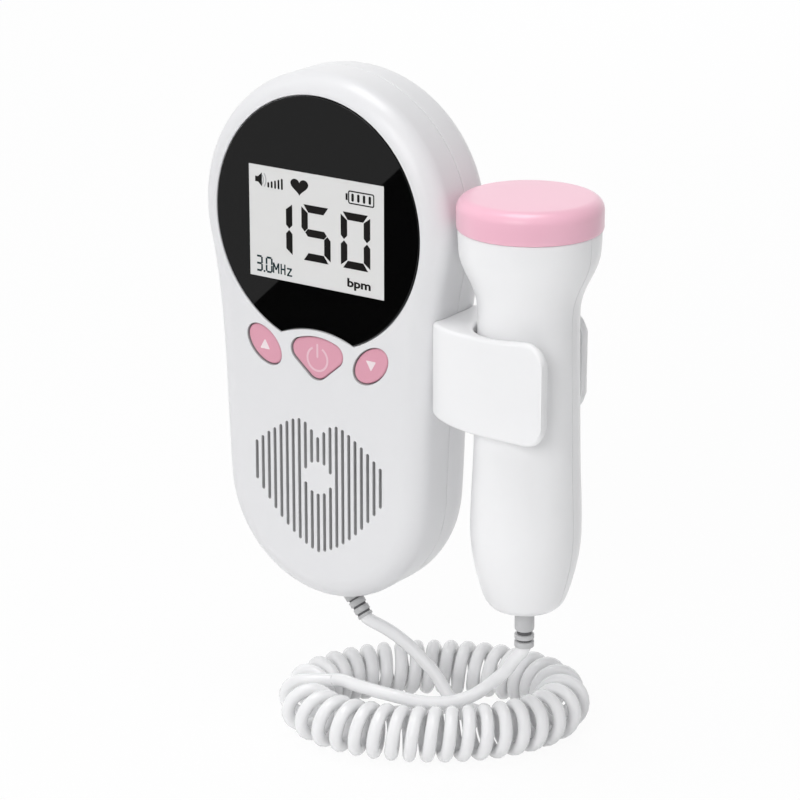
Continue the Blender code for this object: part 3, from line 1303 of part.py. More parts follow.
def main():
    """Build the whole monitor."""
    clear_scene()
    white = make_material("white_plastic", WHITE, 0.35)
    pink = make_material("pink_plastic", PINK, 0.45)
    cap_pink = make_material("cap_plastic", CAP_PINK, 0.3)
    black = make_material("lens_black", BLACK, 0.05)
    grey = make_material("display_grey", PALE_GREY, 0.3)
    pale = make_material("backlight_white", WHITE, 0.5)
    green = make_material("board_green", BOARD_GREEN, 0.4)
    dark = make_material("dark_plastic", DARK, 0.5)
    steel = make_material("steel", STEEL, 0.3, 1.0)
    crystal = make_material("crystal_copper", COPPER, 0.35, 1.0)
    build_front_shell(white)
    build_rear_shell(white)
    build_battery_cover(white)
    build_case_screws(steel)
    build_display(black, grey, pale)
    build_board(green, dark, steel)
    build_buttons(pink, dark)
    build_speaker(dark, steel)
    build_cells(dark, steel)
    build_probe(white, cap_pink, crystal, green, dark)
    build_casing_relief(white)
    build_clip(white)
    build_clip_screws(steel)
    build_cord(white)
    bpy.context.view_layer.update()


main()
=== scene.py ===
"""Looks of the handheld fetal heart monitor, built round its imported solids.

Metres, +Z up. The casing's face looks towards -Y, its flat back lies in the plane y = 0, and
the origin is on that back, behind the centre of the round head. Every piece stays at the
origin with its place in its own mesh.
"""
import logging
import math
from dataclasses import dataclass, field
from enum import Enum
from typing import Iterable, Sequence

import bmesh
import bpy
from mathutils import Matrix, Vector


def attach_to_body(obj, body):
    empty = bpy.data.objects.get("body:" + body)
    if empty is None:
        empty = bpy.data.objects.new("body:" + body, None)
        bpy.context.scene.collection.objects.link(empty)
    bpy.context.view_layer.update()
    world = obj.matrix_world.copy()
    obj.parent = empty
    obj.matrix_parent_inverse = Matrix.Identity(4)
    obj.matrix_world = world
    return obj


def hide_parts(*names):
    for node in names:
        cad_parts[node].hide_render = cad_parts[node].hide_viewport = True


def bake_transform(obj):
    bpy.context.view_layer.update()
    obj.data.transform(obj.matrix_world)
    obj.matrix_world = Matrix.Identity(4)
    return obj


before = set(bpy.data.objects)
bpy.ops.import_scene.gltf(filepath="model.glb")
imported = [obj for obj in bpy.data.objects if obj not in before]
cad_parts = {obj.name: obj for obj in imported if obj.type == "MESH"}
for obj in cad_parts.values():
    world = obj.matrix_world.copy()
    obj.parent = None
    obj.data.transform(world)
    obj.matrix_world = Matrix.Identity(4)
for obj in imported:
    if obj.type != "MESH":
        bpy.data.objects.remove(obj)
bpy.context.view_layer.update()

LOG = logging.getLogger("monitor")
MM = 0.001

Point2 = tuple[float, float]
Colour = tuple[float, float, float]
Shape = tuple[list[Vector], list[tuple[int, ...]]]


class Body(str, Enum):
    """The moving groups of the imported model."""

    CASING = "casing"
    UP = "up_button"
    POWER = "power_button"
    DOWN = "down_button"
    COVER = "battery_cover"
    PROBE = "probe"


# Outlines and closed shapes


def arc(centre: Point2, radius: float, first: float, last: float, steps: int) -> list[Point2]:
    """Points on a circle from one angle to another, ends included."""
    angles = [first + (last - first) * k / steps for k in range(steps + 1)]
    return [(centre[0] + radius * math.cos(a), centre[1] + radius * math.sin(a)) for a in angles]


def quarter(steps: int) -> list[Point2]:
    """(inset, depth) round a quarter of a circle of radius 1, from a face out to a side."""
    angles = [math.pi / 2 * k / steps for k in range(steps + 1)]
    return [(1 - math.sin(a), 1 - math.cos(a)) for a in angles]


def grown(outline: Sequence[Point2], offset: float) -> list[Point2]:
    """An outline moved outwards by offset along the average of its edges' normals."""
    points = []
    count = len(outline)
    for i, point in enumerate(outline):
        here = Vector(point)
        edge_in = (here - Vector(outline[i - 1])).normalized()
        edge_out = (Vector(outline[(i + 1) % count]) - here).normalized()
        tangent = (edge_in + edge_out).normalized()
        reach = offset / max(tangent.dot(edge_in), 0.5)
        points.append((point[0] + tangent.y * reach, point[1] - tangent.x * reach))
    return points


def shifted(outline: Iterable[Point2], x: float, z: float) -> list[Point2]:
    """An outline moved by x and z."""
    return [(px + x, pz + z) for px, pz in outline]


def rounded_polygon(corners: Sequence[Point2], radii: Sequence[float], steps: int) -> list[Point2]:
    """A polygon with an arc of its own radius at each corner, counterclockwise."""
    points = []
    count = len(corners)
    for i, corner in enumerate(corners):
        here = Vector(corner)
        back = (Vector(corners[i - 1]) - here).normalized()
        ahead = (Vector(corners[(i + 1) % count]) - here).normalized()
        half = back.angle(ahead) / 2
        middle = here + (back + ahead).normalized() * radii[i] / math.sin(half)
        start = here + back * radii[i] / math.tan(half) - middle
        turn = math.pi - 2 * half
        for k in range(steps + 1):
            angle = turn * k / steps
            points.append((middle.x + start.x * math.cos(angle) - start.y * math.sin(angle),
                           middle.y + start.x * math.sin(angle) + start.y * math.cos(angle)))
    return points


def rounded_rectangle(left: float, right: float, bottom: float, top: float, radius: float,
                      steps: int = 6) -> list[Point2]:
    """An upright rectangle with round corners, counterclockwise."""
    corners = [(left, bottom), (right, bottom), (right, top), (left, top)]
    return rounded_polygon(corners, [radius] * 4, steps)


def flat_ring(outline: Iterable[Point2], y: float) -> list[Vector]:
    """An outline of (x, z) points as a ring at depth y."""
    return [Vector((x, y, z)) for x, z in outline]


def loft(rings: Sequence[Sequence[Vector]]) -> Shape:
    """A closed shape through rings of equal length, capped at both ends."""
    count = len(rings[0])
    vertices = [Vector(p) for ring in rings for p in ring]
    faces = [tuple(range(count))]
    for level in range(len(rings) - 1):
        base = level * count
        for i in range(count):
            j = (i + 1) % count
            faces.append((base + i, base + j, base + count + j, base + count + i))
    faces.append(tuple(reversed(range(len(vertices) - count, len(vertices)))))
    return vertices, faces


def prism(outline: Sequence[Point2], y_front: float, y_rear: float) -> Shape:
    """An outline of (x, z) points pushed from y_front to y_rear."""
    return loft([flat_ring(outline, y_front), flat_ring(outline, y_rear)])


def eased_prism(outline: Sequence[Point2], y_front: float, y_rear: float, edge: float,
                steps: int = 4) -> Shape:
    """A prism whose front and rear edges are rounded by edge."""
    rings = []
    for face_y, inwards in ((y_front, 1), (y_rear, -1)):
        levels = [flat_ring(grown(outline, -edge * inset), face_y + inwards * edge * depth)
                  for inset, depth in quarter(steps)]
        rings += levels if inwards > 0 else levels[::-1]
    return loft(rings)


def turned(profile: Sequence[Point2], sides: int, start: float = 0.0,
           sweep: float = 2 * math.pi) -> Shape:
    """A profile of (radius, height) turned about the local Z axis.

    Args:
        profile: Points of the section. One that ends on the axis at both ends is solid there,
            and any other closes on itself.
        sides: Steps of the turn.
        start: First angle.
        sweep: Angle that is turned through. Below a full turn both ends get a flat face.

    Returns:
        The closed shape.
    """
    solid = profile[0][0] == 0 and profile[-1][0] == 0
    full = sweep >= 2 * math.pi
    steps = sides if full else sides + 1
    vertices: list[Vector] = []
    faces: list[tuple[int, ...]] = []
    columns = []
    poles = {}
    if solid:
        for end in (0, len(profile) - 1):
            poles[end] = len(vertices)
            vertices.append(Vector((0, 0, profile[end][1])))
    for step in range(steps):
        angle = start + sweep * step / sides
        column = []
        for index, (radius, height) in enumerate(profile):
            if index in poles:
                column.append(poles[index])
                continue
            column.append(len(vertices))
            vertices.append(Vector((radius * math.cos(angle), radius * math.sin(angle), height)))
        columns.append(column)
    spans = len(profile) - 1 if solid else len(profile)
    for k in range(steps if full else steps - 1):
        one, two = columns[k], columns[(k + 1) % steps]
        for i in range(spans):
            j = (i + 1) % len(profile)
            corners = list(dict.fromkeys((one[i], two[i], two[j], one[j])))
            faces.append(tuple(corners))
    if not full:
        faces.append(tuple(columns[0]))
        faces.append(tuple(reversed(columns[-1])))
    return vertices, faces


def placed(shape: Shape, matrix: Matrix) -> Shape:
    """A shape moved by a matrix."""
    vertices, faces = shape
    return [matrix @ Vector(v) for v in vertices], faces


def joined(shapes: Iterable[Shape]) -> Shape:
    """Several separate closed shapes as one."""
    vertices: list[Vector] = []
    faces: list[tuple[int, ...]] = []
    for shape_vertices, shape_faces in shapes:
        start = len(vertices)
        vertices.extend(shape_vertices)
        faces.extend([tuple(start + i for i in face) for face in shape_faces])
    return vertices, faces


def along(direction: Sequence[float], origin: Sequence[float]) -> Matrix:
    """A matrix that lays the local Z axis along a direction from an origin."""
    turn = Vector((0, 0, 1)).rotation_difference(Vector(direction))
    return Matrix.Translation(Vector(origin)) @ turn.to_matrix().to_4x4()


def curve_through(nodes: Sequence[Vector], steps: int) -> list[Vector]:
    """Points on a smooth curve from the second node to the last but one, with steps between two."""
    fine = []
    for p0, p1, p2, p3 in zip(nodes, nodes[1:], nodes[2:], nodes[3:]):
        for k in range(steps):
            t = k / steps
            fine.append(0.5 * (2 * p1 + (p2 - p0) * t + (2 * p0 - 5 * p1 + 4 * p2 - p3) * t ** 2
                               + (3 * p1 - p0 - 3 * p2 + p3) * t ** 3))
    fine.append(nodes[-2])
    return fine


# Meshes

SHARP_ANGLE = math.radians(38)


def make_piece(name: str, shape: Shape, material: bpy.types.Material | None = None,
               sharp: float = SHARP_ANGLE) -> bpy.types.Object:
    """One mesh object with outward faces, smooth where it is round.

    Args:
        name: The piece's name.
        shape: Its closed form.
        material: Its finish, or nothing for a tool.
        sharp: Angle from which an edge is drawn sharp.

    Returns:
        The new object.
    """
    vertices, faces = shape
    mesh = bpy.data.meshes.new(name)
    mesh.from_pydata([tuple(v) for v in vertices], [], faces)
    work = bmesh.new()
    work.from_mesh(mesh)
    bmesh.ops.recalc_face_normals(work, faces=work.faces)
    work.to_mesh(mesh)
    work.free()
    if material:
        mesh.materials.append(material)
    mesh.shade_smooth()
    mesh.set_sharp_from_angle(angle=sharp)
    obj = bpy.data.objects.new(name, mesh)
    bpy.context.scene.collection.objects.link(obj)
    return obj


def drop(obj: bpy.types.Object) -> None:
    """Remove a helper object."""
    bpy.data.objects.remove(obj, do_unlink=True)


def bake(obj: bpy.types.Object, sharp: float = SHARP_ANGLE) -> bpy.types.Object:
    """Turn an object's modifiers into its own plain mesh."""
    bpy.context.view_layer.update()
    evaluated = obj.evaluated_get(bpy.context.evaluated_depsgraph_get())
    mesh = bpy.data.meshes.new_from_object(evaluated)
    obj.modifiers.clear()
    obj.data = mesh
    mesh.shade_smooth()
    mesh.set_sharp_from_angle(angle=sharp)
    return obj


def combine(target: bpy.types.Object, tool: bpy.types.Object, operation: str) -> None:
    """Cut the tool from the target, or join it, and remove the tool."""
    modifier = target.modifiers.new(tool.name, "BOOLEAN")
    modifier.operation = operation
    modifier.solver = "EXACT"
    modifier.material_mode = "TRANSFER"
    modifier.object = tool
    bake(target)
    drop(tool)


def flatten_face(obj: bpy.types.Object, y: float, outwards: float) -> None:
    """Give every corner of the flat face at depth y the face's own normal.

    The rounded edge round the face then shades smoothly into it, and its holes leave no marks.

    Args:
        obj: The piece.
        y: Depth of its flat face.
        outwards: -1 for a face that looks towards the front, 1 for one towards the back.
    """
    mesh = obj.data
    normals = [(0.0, 0.0, 0.0)] * len(mesh.loops)
    slack = 0.02 * MM
    for polygon in mesh.polygons:
        if polygon.normal.y * outwards < 0.9:
            continue
        for loop in polygon.loop_indices:
            if abs(mesh.vertices[mesh.loops[loop].vertex_index].co.y - y) < slack:
                normals[loop] = (0.0, outwards, 0.0)
    mesh.normals_split_custom_set(normals)


# Finishes

# Waves per metre of the slow waviness, depth of a full bump, and the Pointiness from which an
# edge counts as worn, or a hollow takes the hollow tint, to where it fully does
WAVE_SCALE = 55.0
BUMP_DEPTH = 0.2 * MM
EDGE_FORM = (0.53, 0.60)
HOLLOW_FORM = (0.48, 0.42)


class NodeTree:
    """A node tree that is built in code."""

    def __init__(self, tree: bpy.types.NodeTree) -> None:
        """Take the tree to build in."""
        self.tree = tree

    def node(self, kind: str, values: dict[str | int, object] | None = None,
             **settings: object) -> bpy.types.Node:
        """Add a node.

        Args:
            kind: Its Blender type.
            values: What each input gets: a plain value, or the socket that feeds it.
            settings: Its plain properties.

        Returns:
            The new node.
        """
        node = self.tree.nodes.new(kind)
        for key, value in settings.items():
            setattr(node, key, value)
        for key, value in (values or {}).items():
            if isinstance(value, bpy.types.NodeSocket):
                self.wire(value, node.inputs[key])
            else:
                node.inputs[key].default_value = value
        return node

    def maths(self, operation: str, first: object, second: object) -> bpy.types.NodeSocket:
        """The result of a Math node on two numbers or sockets."""
        return self.node("ShaderNodeMath", {0: first, 1: second}, operation=operation).outputs[0]

    def wire(self, output: bpy.types.NodeSocket, target: bpy.types.NodeSocket) -> None:
        """Link two sockets."""
        self.tree.links.new(output, target)


class Group(NodeTree):
    """A shader node group that several finishes share."""

    def __init__(self, name: str, inputs: dict[str, float], outputs: Sequence[str]) -> None:
        """Make the group with its named sockets.

        Args:
            name: The group's name.
            inputs: Each input's name and first value.
            outputs: The name of each output, all plain values.
        """
        super().__init__(bpy.data.node_groups.new(name, "ShaderNodeTree"))
        for key, value in inputs.items():
            socket = self.tree.interface.new_socket(key, in_out="INPUT", socket_type="NodeSocketFloat")
            socket.default_value = value
        for key in outputs:
            self.tree.interface.new_socket(key, in_out="OUTPUT", socket_type="NodeSocketFloat")
        self.given = self.tree.nodes.new("NodeGroupInput").outputs
        self.result = self.tree.nodes.new("NodeGroupOutput").inputs

    def noise(self, scale: object, detail: float) -> bpy.types.NodeSocket:
        """A noise that lies still in the object, from 0 to 1."""
        place = self.node("ShaderNodeTexCoord").outputs["Object"]
        noise = self.node("ShaderNodeTexNoise", {"Vector": place, "Scale": scale, "Detail": detail})
        return noise.outputs["Fac"]


def grain_group() -> bpy.types.NodeTree:
    """Fine moulded grain with a slow waviness under it, as a height and a roughness shift."""
    group = Group("moulded_grain", {"Scale": 2200.0, "Fine": 0.5, "Slow": 0.5, "Rough Shift": 0.05},
                  ("Height", "Roughness"))
    fine, slow = group.noise(group.given["Scale"], 3.0), group.noise(WAVE_SCALE, 1.0)
    height = group.maths("ADD", group.maths("MULTIPLY", fine, group.given["Fine"]),
                         group.maths("MULTIPLY", slow, group.given["Slow"]))
    centred = group.maths("SUBTRACT", slow, 0.5)
    group.wire(height, group.result["Height"])
    group.wire(group.maths("MULTIPLY", centred, group.given["Rough Shift"]), group.result["Roughness"])
    return group.tree


def tone_group() -> bpy.types.NodeTree:
    """Masks from 0 to 1 of slow tone changes, worn edges and a tint in hollows."""
    group = Group("tone_and_wear", {"Scale": 90.0, "Tone": 1.0, "Wear": 0.3, "Hollow Tint": 0.3},
                  ("Tone", "Wear", "Hollow Tint"))
    noise = group.noise(group.given["Scale"], 2.0)
    group.wire(group.maths("MULTIPLY", noise, group.given["Tone"]), group.result["Tone"])
    form = group.node("ShaderNodeNewGeometry").outputs["Pointiness"]
    # The hollow tint mixes a colour into hollows, where Pointiness is low.
    for key, (first, last) in (("Wear", EDGE_FORM), ("Hollow Tint", HOLLOW_FORM)):
        span = group.node("ShaderNodeMapRange", {"Value": form, "From Min": first, "From Max": last})
        broken = group.maths("MULTIPLY", span.outputs["Result"], noise)
        group.wire(group.maths("MULTIPLY", broken, group.given[key]), group.result[key])
    return group.tree


@dataclass(frozen=True)
class Finish:
    """One surface finish: a Principled shader with grain, tone changes, wear and a tint in hollows.

    Attributes:
        colour: Plain colour.
        tone: Colour that the slow tone changes lead to.
        worn: Colour of worn edges.
    """

    name: str
    colour: Colour
    tone: Colour
    worn: Colour
    # Colour mixed into hollows where Pointiness is low, and below it how much.
    hollow_colour: Colour = (0.42, 0.42, 0.44)
    roughness: float = 0.35
    metallic: float = 0.0
    coat: float = 0.0
    coat_roughness: float = 0.1
    grain_scale: float = 2200.0
    grain: float = 0.5
    waviness: float = 0.4
    bump: float = 0.02
    tone_scale: float = 90.0
    tone_share: float = 0.6
    wear: float = 0.3
    hollow_tint: float = 0.25
    rough_shift: float = 0.06
    sheen: float = 0.0
    specular: float = 0.5

    def material(self) -> bpy.types.Material:
        """The finish as a material, made once."""
        found = bpy.data.materials.get(self.name)
        if found:
            return found
        material = bpy.data.materials.new(self.name)
        material.use_nodes = True
        nodes = NodeTree(material.node_tree)
        shader = nodes.tree.nodes["Principled BSDF"]
        for key, value in (("Metallic", self.metallic), ("Coat Weight", self.coat),
                           ("Coat Roughness", self.coat_roughness), ("Sheen Weight", self.sheen),
                           ("Specular IOR Level", self.specular)):
            shader.inputs[key].default_value = value
        marks = nodes.node("ShaderNodeGroup", {"Scale": self.tone_scale, "Tone": self.tone_share,
                                               "Wear": self.wear, "Hollow Tint": self.hollow_tint},
                           node_tree=bpy.data.node_groups.get("tone_and_wear") or tone_group())
        colour = (*self.colour, 1.0)
        for key, second in (("Tone", self.tone), ("Wear", self.worn), ("Hollow Tint", self.hollow_colour)):
            mix = nodes.node("ShaderNodeMix",
                             {"Factor": marks.outputs[key], "A": colour, "B": (*second, 1.0)},
                             data_type="RGBA")
            colour = mix.outputs["Result"]
        nodes.wire(colour, shader.inputs["Base Color"])
        grain = nodes.node("ShaderNodeGroup", {"Scale": self.grain_scale, "Fine": self.grain,
                                               "Slow": self.waviness, "Rough Shift": self.rough_shift},
                           node_tree=bpy.data.node_groups.get("moulded_grain") or grain_group())
        rough = nodes.node("ShaderNodeMath", {0: grain.outputs["Roughness"], 1: self.roughness},
                           operation="ADD", use_clamp=True)
        nodes.wire(rough.outputs[0], shader.inputs["Roughness"])
        bump = nodes.node("ShaderNodeBump", {"Height": grain.outputs["Height"], "Strength": self.bump,
                                             "Distance": BUMP_DEPTH})
        nodes.wire(bump.outputs["Normal"], shader.inputs["Normal"])
        return material


WHITE_SHELL = Finish("white_shell", (0.81, 0.81, 0.82), (0.785, 0.785, 0.80), (0.86, 0.86, 0.86),
                     roughness=0.34, coat=0.25, coat_roughness=0.22, bump=0.03)
WHITE_HANDLE = Finish("white_handle", (0.93, 0.93, 0.935), (0.905, 0.905, 0.915), (0.95, 0.95, 0.95),
                      roughness=0.30, coat=0.3, coat_roughness=0.18, bump=0.025)
PINK_BUTTON = Finish("pink_button", (0.76, 0.36, 0.455), (0.72, 0.33, 0.425), (0.84, 0.46, 0.55),
                     roughness=0.42, coat=0.1, coat_roughness=0.3, bump=0.05, grain_scale=3200.0)
PINK_CAP = Finish("pink_cap", (0.93, 0.52, 0.64), (0.91, 0.485, 0.61), (0.95, 0.62, 0.72),
                  roughness=0.30, coat=0.35, coat_roughness=0.12, bump=0.012)
WINDOW_BLACK = Finish("window_black", (0.002, 0.002, 0.002), (0.0025, 0.0025, 0.003), (0.02, 0.02, 0.02),
                      hollow_colour=(0.01, 0.01, 0.01), roughness=0.015, bump=0.002, tone_share=0.3,
                      wear=0.05, hollow_tint=0.0, rough_shift=0.004)
DISPLAY_GREY = Finish("display_grey_face", (0.75, 0.748, 0.74), (0.73, 0.728, 0.72), (0.75, 0.75, 0.75),
                      roughness=0.35, bump=0.002, tone_scale=35.0, wear=0.0, hollow_tint=0.0, rough_shift=0.0)
MARK_DARK = Finish("display_mark", (0.004, 0.004, 0.004), (0.022, 0.019, 0.018), (0.02, 0.02, 0.02),
                   roughness=0.3, bump=0.0, tone_scale=150.0, tone_share=0.9, wear=0.0, hollow_tint=0.0,
                   specular=0.15)
MARK_TEAL = Finish("display_small_mark", (0.008, 0.028, 0.033), (0.012, 0.034, 0.04), (0.02, 0.04, 0.045),
                   roughness=0.3, bump=0.0, wear=0.0, hollow_tint=0.0, specular=0.15)
MARK_FAINT = Finish("display_faint_mark", (0.42, 0.43, 0.44), (0.45, 0.46, 0.47), (0.42, 0.43, 0.44),
                    roughness=0.4, bump=0.0, wear=0.0, hollow_tint=0.0)
ICON_WHITE = Finish("icon_white", (0.90, 0.78, 0.80), (0.88, 0.75, 0.78), (0.9, 0.85, 0.85),
                    roughness=0.45, bump=0.01, wear=0.0, hollow_tint=0.0)
ICON_SOFT = Finish("icon_soft", (0.84, 0.56, 0.63), (0.81, 0.53, 0.60), (0.86, 0.62, 0.68),
                   roughness=0.45, bump=0.01, wear=0.0, hollow_tint=0.0)
CORD_WHITE = Finish("cord_gloss_white", (0.93, 0.93, 0.935), (0.90, 0.90, 0.91), (0.94, 0.94, 0.94),
                    roughness=0.24, coat=0.4, coat_roughness=0.12, bump=0.02, grain_scale=1400.0,
                    waviness=0.9, tone_scale=60.0)
# The sleeves are white like the cord; this grey is painted shade, where they sit in shadow.
RELIEF_SHADED_GREY = Finish("relief_painted_shade_grey", (0.58, 0.58, 0.585), (0.53, 0.53, 0.54), (0.66, 0.66, 0.66),
                      roughness=0.4, bump=0.04)
# Near black painted on the sleeves' cores: painted shadow in the grooves between the collars.
RELIEF_CORE_PAINTED_SHADE = Finish("relief_core_painted_shade", (0.12, 0.12, 0.125), (0.09, 0.09, 0.095), (0.16, 0.16, 0.16),
                     roughness=0.5, bump=0.03)
STEEL = Finish("plated_steel", (0.62, 0.62, 0.63), (0.55, 0.55, 0.57), (0.75, 0.75, 0.75),
               roughness=0.28, metallic=1.0, bump=0.03, grain_scale=3000.0, wear=0.5)
# Grey painted on the walls of the grille slots and the button holes: painted shade in those recesses.
SLOT_WALL_PAINTED_SHADE = Finish("slot_wall_painted_shade", (0.42, 0.42, 0.425), (0.36, 0.36, 0.365), (0.46, 0.46, 0.46),
                    roughness=0.6, bump=0.03)
CLOTH = Finish("grille_cloth_grey", (0.10, 0.10, 0.105), (0.07, 0.07, 0.075), (0.15, 0.15, 0.15),
               roughness=0.85, bump=0.5, grain_scale=5200.0, sheen=0.2, wear=0.0)
BOARD = Finish("circuit_board", (0.03, 0.20, 0.09), (0.04, 0.26, 0.12), (0.10, 0.30, 0.16),
               roughness=0.4, coat=0.3, bump=0.03)
CHIP = Finish("chip_black", (0.025, 0.025, 0.028), (0.035, 0.035, 0.04), (0.07, 0.07, 0.07),
              roughness=0.55, bump=0.1, grain_scale=4200.0)
COPPER = Finish("crystal_electrode", (0.62, 0.36, 0.22), (0.55, 0.30, 0.18), (0.75, 0.5, 0.35),
                roughness=0.3, metallic=1.0, bump=0.02)
CELL_BLACK = Finish("cell_sleeve_dark", (0.03, 0.03, 0.035), (0.04, 0.04, 0.045), (0.12, 0.12, 0.12),
                    roughness=0.25, coat=0.5, bump=0.01)
CELL_GOLD = Finish("cell_sleeve_band", (0.55, 0.34, 0.13), (0.5, 0.3, 0.11), (0.7, 0.5, 0.3),
                   roughness=0.28, metallic=0.7, bump=0.01)


# Repeats made with Geometry Nodes


class Repeater(NodeTree):
    """A Geometry Nodes tree that places a unit form on points and makes one plain mesh of it."""

    def __init__(self, name: str, sizes: dict[str, float]) -> None:
        """Start a tree whose named inputs are its sizes.

        Args:
            name: The tree's name.
            sizes: Each size input and its value.
        """
        super().__init__(bpy.data.node_groups.new(name, "GeometryNodeTree"))
        self.sizes = sizes
        kinds = {"Geometry": "NodeSocketGeometry", "Unit": "NodeSocketObject",
                 "Material": "NodeSocketMaterial", **{key: "NodeSocketFloat" for key in sizes}}
        make = self.tree.interface.new_socket
        self.inputs = {key: make(key, in_out="INPUT", socket_type=kind).identifier
                       for key, kind in kinds.items()}
        make("Geometry", in_out="OUTPUT", socket_type="NodeSocketGeometry")
        self.given = self.tree.nodes.new("NodeGroupInput").outputs
        self.result = self.tree.nodes.new("NodeGroupOutput").inputs

    def named(self, name: str, kind: str = "FLOAT") -> bpy.types.NodeSocket:
        """A value that the points or the unit carry."""
        named = self.node("GeometryNodeInputNamedAttribute", {"Name": name}, data_type=kind)
        return named.outputs["Attribute"]

    def units(self, values: dict[str, bpy.types.NodeSocket]) -> bpy.types.NodeSocket:
        """The unit on every point as real geometry, with what feeds its Scale and Rotation."""
        unit = self.node("GeometryNodeObjectInfo", {"Object": self.given["Unit"]})
        place = self.node("GeometryNodeInstanceOnPoints", {"Points": self.given["Geometry"],
                                                           "Instance": unit.outputs["Geometry"], **values})
        real = self.node("GeometryNodeRealizeInstances", {"Geometry": place.outputs["Instances"]})
        return real.outputs["Geometry"]

    def finish(self, geometry: bpy.types.NodeSocket) -> None:
        """End the tree with plain geometry in its material."""
        paint = self.node("GeometryNodeSetMaterial",
                          {"Geometry": geometry, "Material": self.given["Material"]})
        self.wire(paint.outputs["Geometry"], self.result["Geometry"])

    def run(self, name: str, places: Sequence[Vector], values: dict[str, Sequence[float]],
            unit: bpy.types.Object | None, material: bpy.types.Material | None) -> bpy.types.Object:
        """Run the tree on its points and keep the result as a plain piece.

        Args:
            name: Name of the piece.
            places: Where the units go.
            values: What each point carries, by name; three numbers a point for a direction.
            unit: The form that is repeated.
            material: Its finish.

        Returns:
            The piece, with no modifier left.
        """
        mesh = bpy.data.meshes.new(name)
        mesh.from_pydata([tuple(p) for p in places], [], [])
        for key, numbers in values.items():
            vector = isinstance(numbers[0], (tuple, list, Vector))
            attribute = mesh.attributes.new(key, "FLOAT_VECTOR" if vector else "FLOAT", "POINT")
            for item, number in zip(attribute.data, numbers):
                if vector:
                    item.vector = number
                else:
                    item.value = number
        obj = bpy.data.objects.new(name, mesh)
        bpy.context.scene.collection.objects.link(obj)
        modifier = obj.modifiers.new("repeat", "NODES")
        modifier.node_group = self.tree
        if unit:
            modifier[self.inputs["Unit"]] = unit
        if material:
            modifier[self.inputs["Material"]] = material
        for key, value in self.sizes.items():
            modifier[self.inputs[key]] = value
        bake(obj)
        for key in (*values, "side"):
            if key in obj.data.attributes:
                obj.data.attributes.remove(obj.data.attributes[key])
        if material:
            obj.data.materials.clear()
            obj.data.materials.append(material)
        if unit:
            drop(unit)
        return obj


def bar_row(half_width: float, depth: float) -> Repeater:
    """A tree that stretches a round unit between each point's foot and top.

    Args:
        half_width: Half the width of each bar, in metres.
        depth: How deep each bar runs along +Y, in metres.

    Returns:
        The tree, whose points carry rise and reach and whose unit carries side.
    """
    row = Repeater("bar_row", {"Half Width": half_width, "Depth": depth})
    width = row.given["Half Width"]
    scale = row.node("ShaderNodeCombineXYZ", {"X": width, "Y": row.given["Depth"], "Z": width})
    bars = row.units({"Scale": scale.outputs["Vector"]})
    ends = [row.maths("MULTIPLY", row.maths(clamp, row.named("side"), 0.0), row.named(key))
            for key, clamp in (("rise", "MAXIMUM"), ("reach", "MINIMUM"))]
    move = row.node("ShaderNodeCombineXYZ", {"Z": row.maths("ADD", *ends)})
    stretch = row.node("GeometryNodeSetPosition", {"Geometry": bars, "Offset": move.outputs["Vector"]})
    row.finish(stretch.outputs["Geometry"])
    return row


def unit_row(size: float = 1.0) -> Repeater:
    """A tree that sets a unit on each point, along its facing, by its girth and length.

    Args:
        size: What each girth and length is multiplied by.

    Returns:
        The tree, whose points carry facing, girth and length.
    """
    row = Repeater("unit_row", {"Size": size})
    turn = row.node("FunctionNodeAlignRotationToVector", {"Vector": row.named("facing", "FLOAT_VECTOR")},
                    axis="Z")
    girth, length = [row.maths("MULTIPLY", row.named(key), row.given["Size"]) for key in ("girth", "length")]
    scale = row.node("ShaderNodeCombineXYZ", {"X": girth, "Y": girth, "Z": length})
    row.finish(row.units({"Rotation": turn.outputs["Rotation"], "Scale": scale.outputs["Vector"]}))
    return row


def round_unit(flare: float, flare_depth: float, sides: int = 20) -> bpy.types.Object:
    """A round bar of radius 1 and depth 1 along +Y, flared at its front for a chamfer.

    Args:
        flare: Extra radius at the face, as a share of the radius.
        flare_depth: Depth of the chamfer, as a share of the depth.
        sides: Sides of the bar.

    Returns:
        The unit, whose corners carry side: 1 above its middle and -1 below.
    """
    levels = [(1 + 2 * flare, -flare_depth), (1, flare_depth), (1, 1)] if flare else [(1, 0), (1, 1)]
    rings = []
    for radius, y in levels:
        angles = [2 * math.pi * (k + 0.5) / sides for k in range(sides)]
        rings.append([Vector((radius * math.cos(a), y, radius * math.sin(a))) for a in angles])
    unit = make_piece("round_unit", loft(rings))
    side = unit.data.attributes.new("side", "FLOAT", "POINT")
    for item, vertex in zip(side.data, unit.data.vertices):
        item.value = 1.0 if vertex.co.z > 0 else -1.0
    return unit


def attach(piece: bpy.types.Object, body: Body, slot: str, *nodes: str) -> bpy.types.Object:
    """Let a piece ride on its body and hide the solids that it stands for."""
    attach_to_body(piece, body.value)
    if nodes:
        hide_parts(*nodes)
    LOG.info("%s rides on %s", piece.name, body.value)
    return piece


# Sizes that several sub-assemblies share


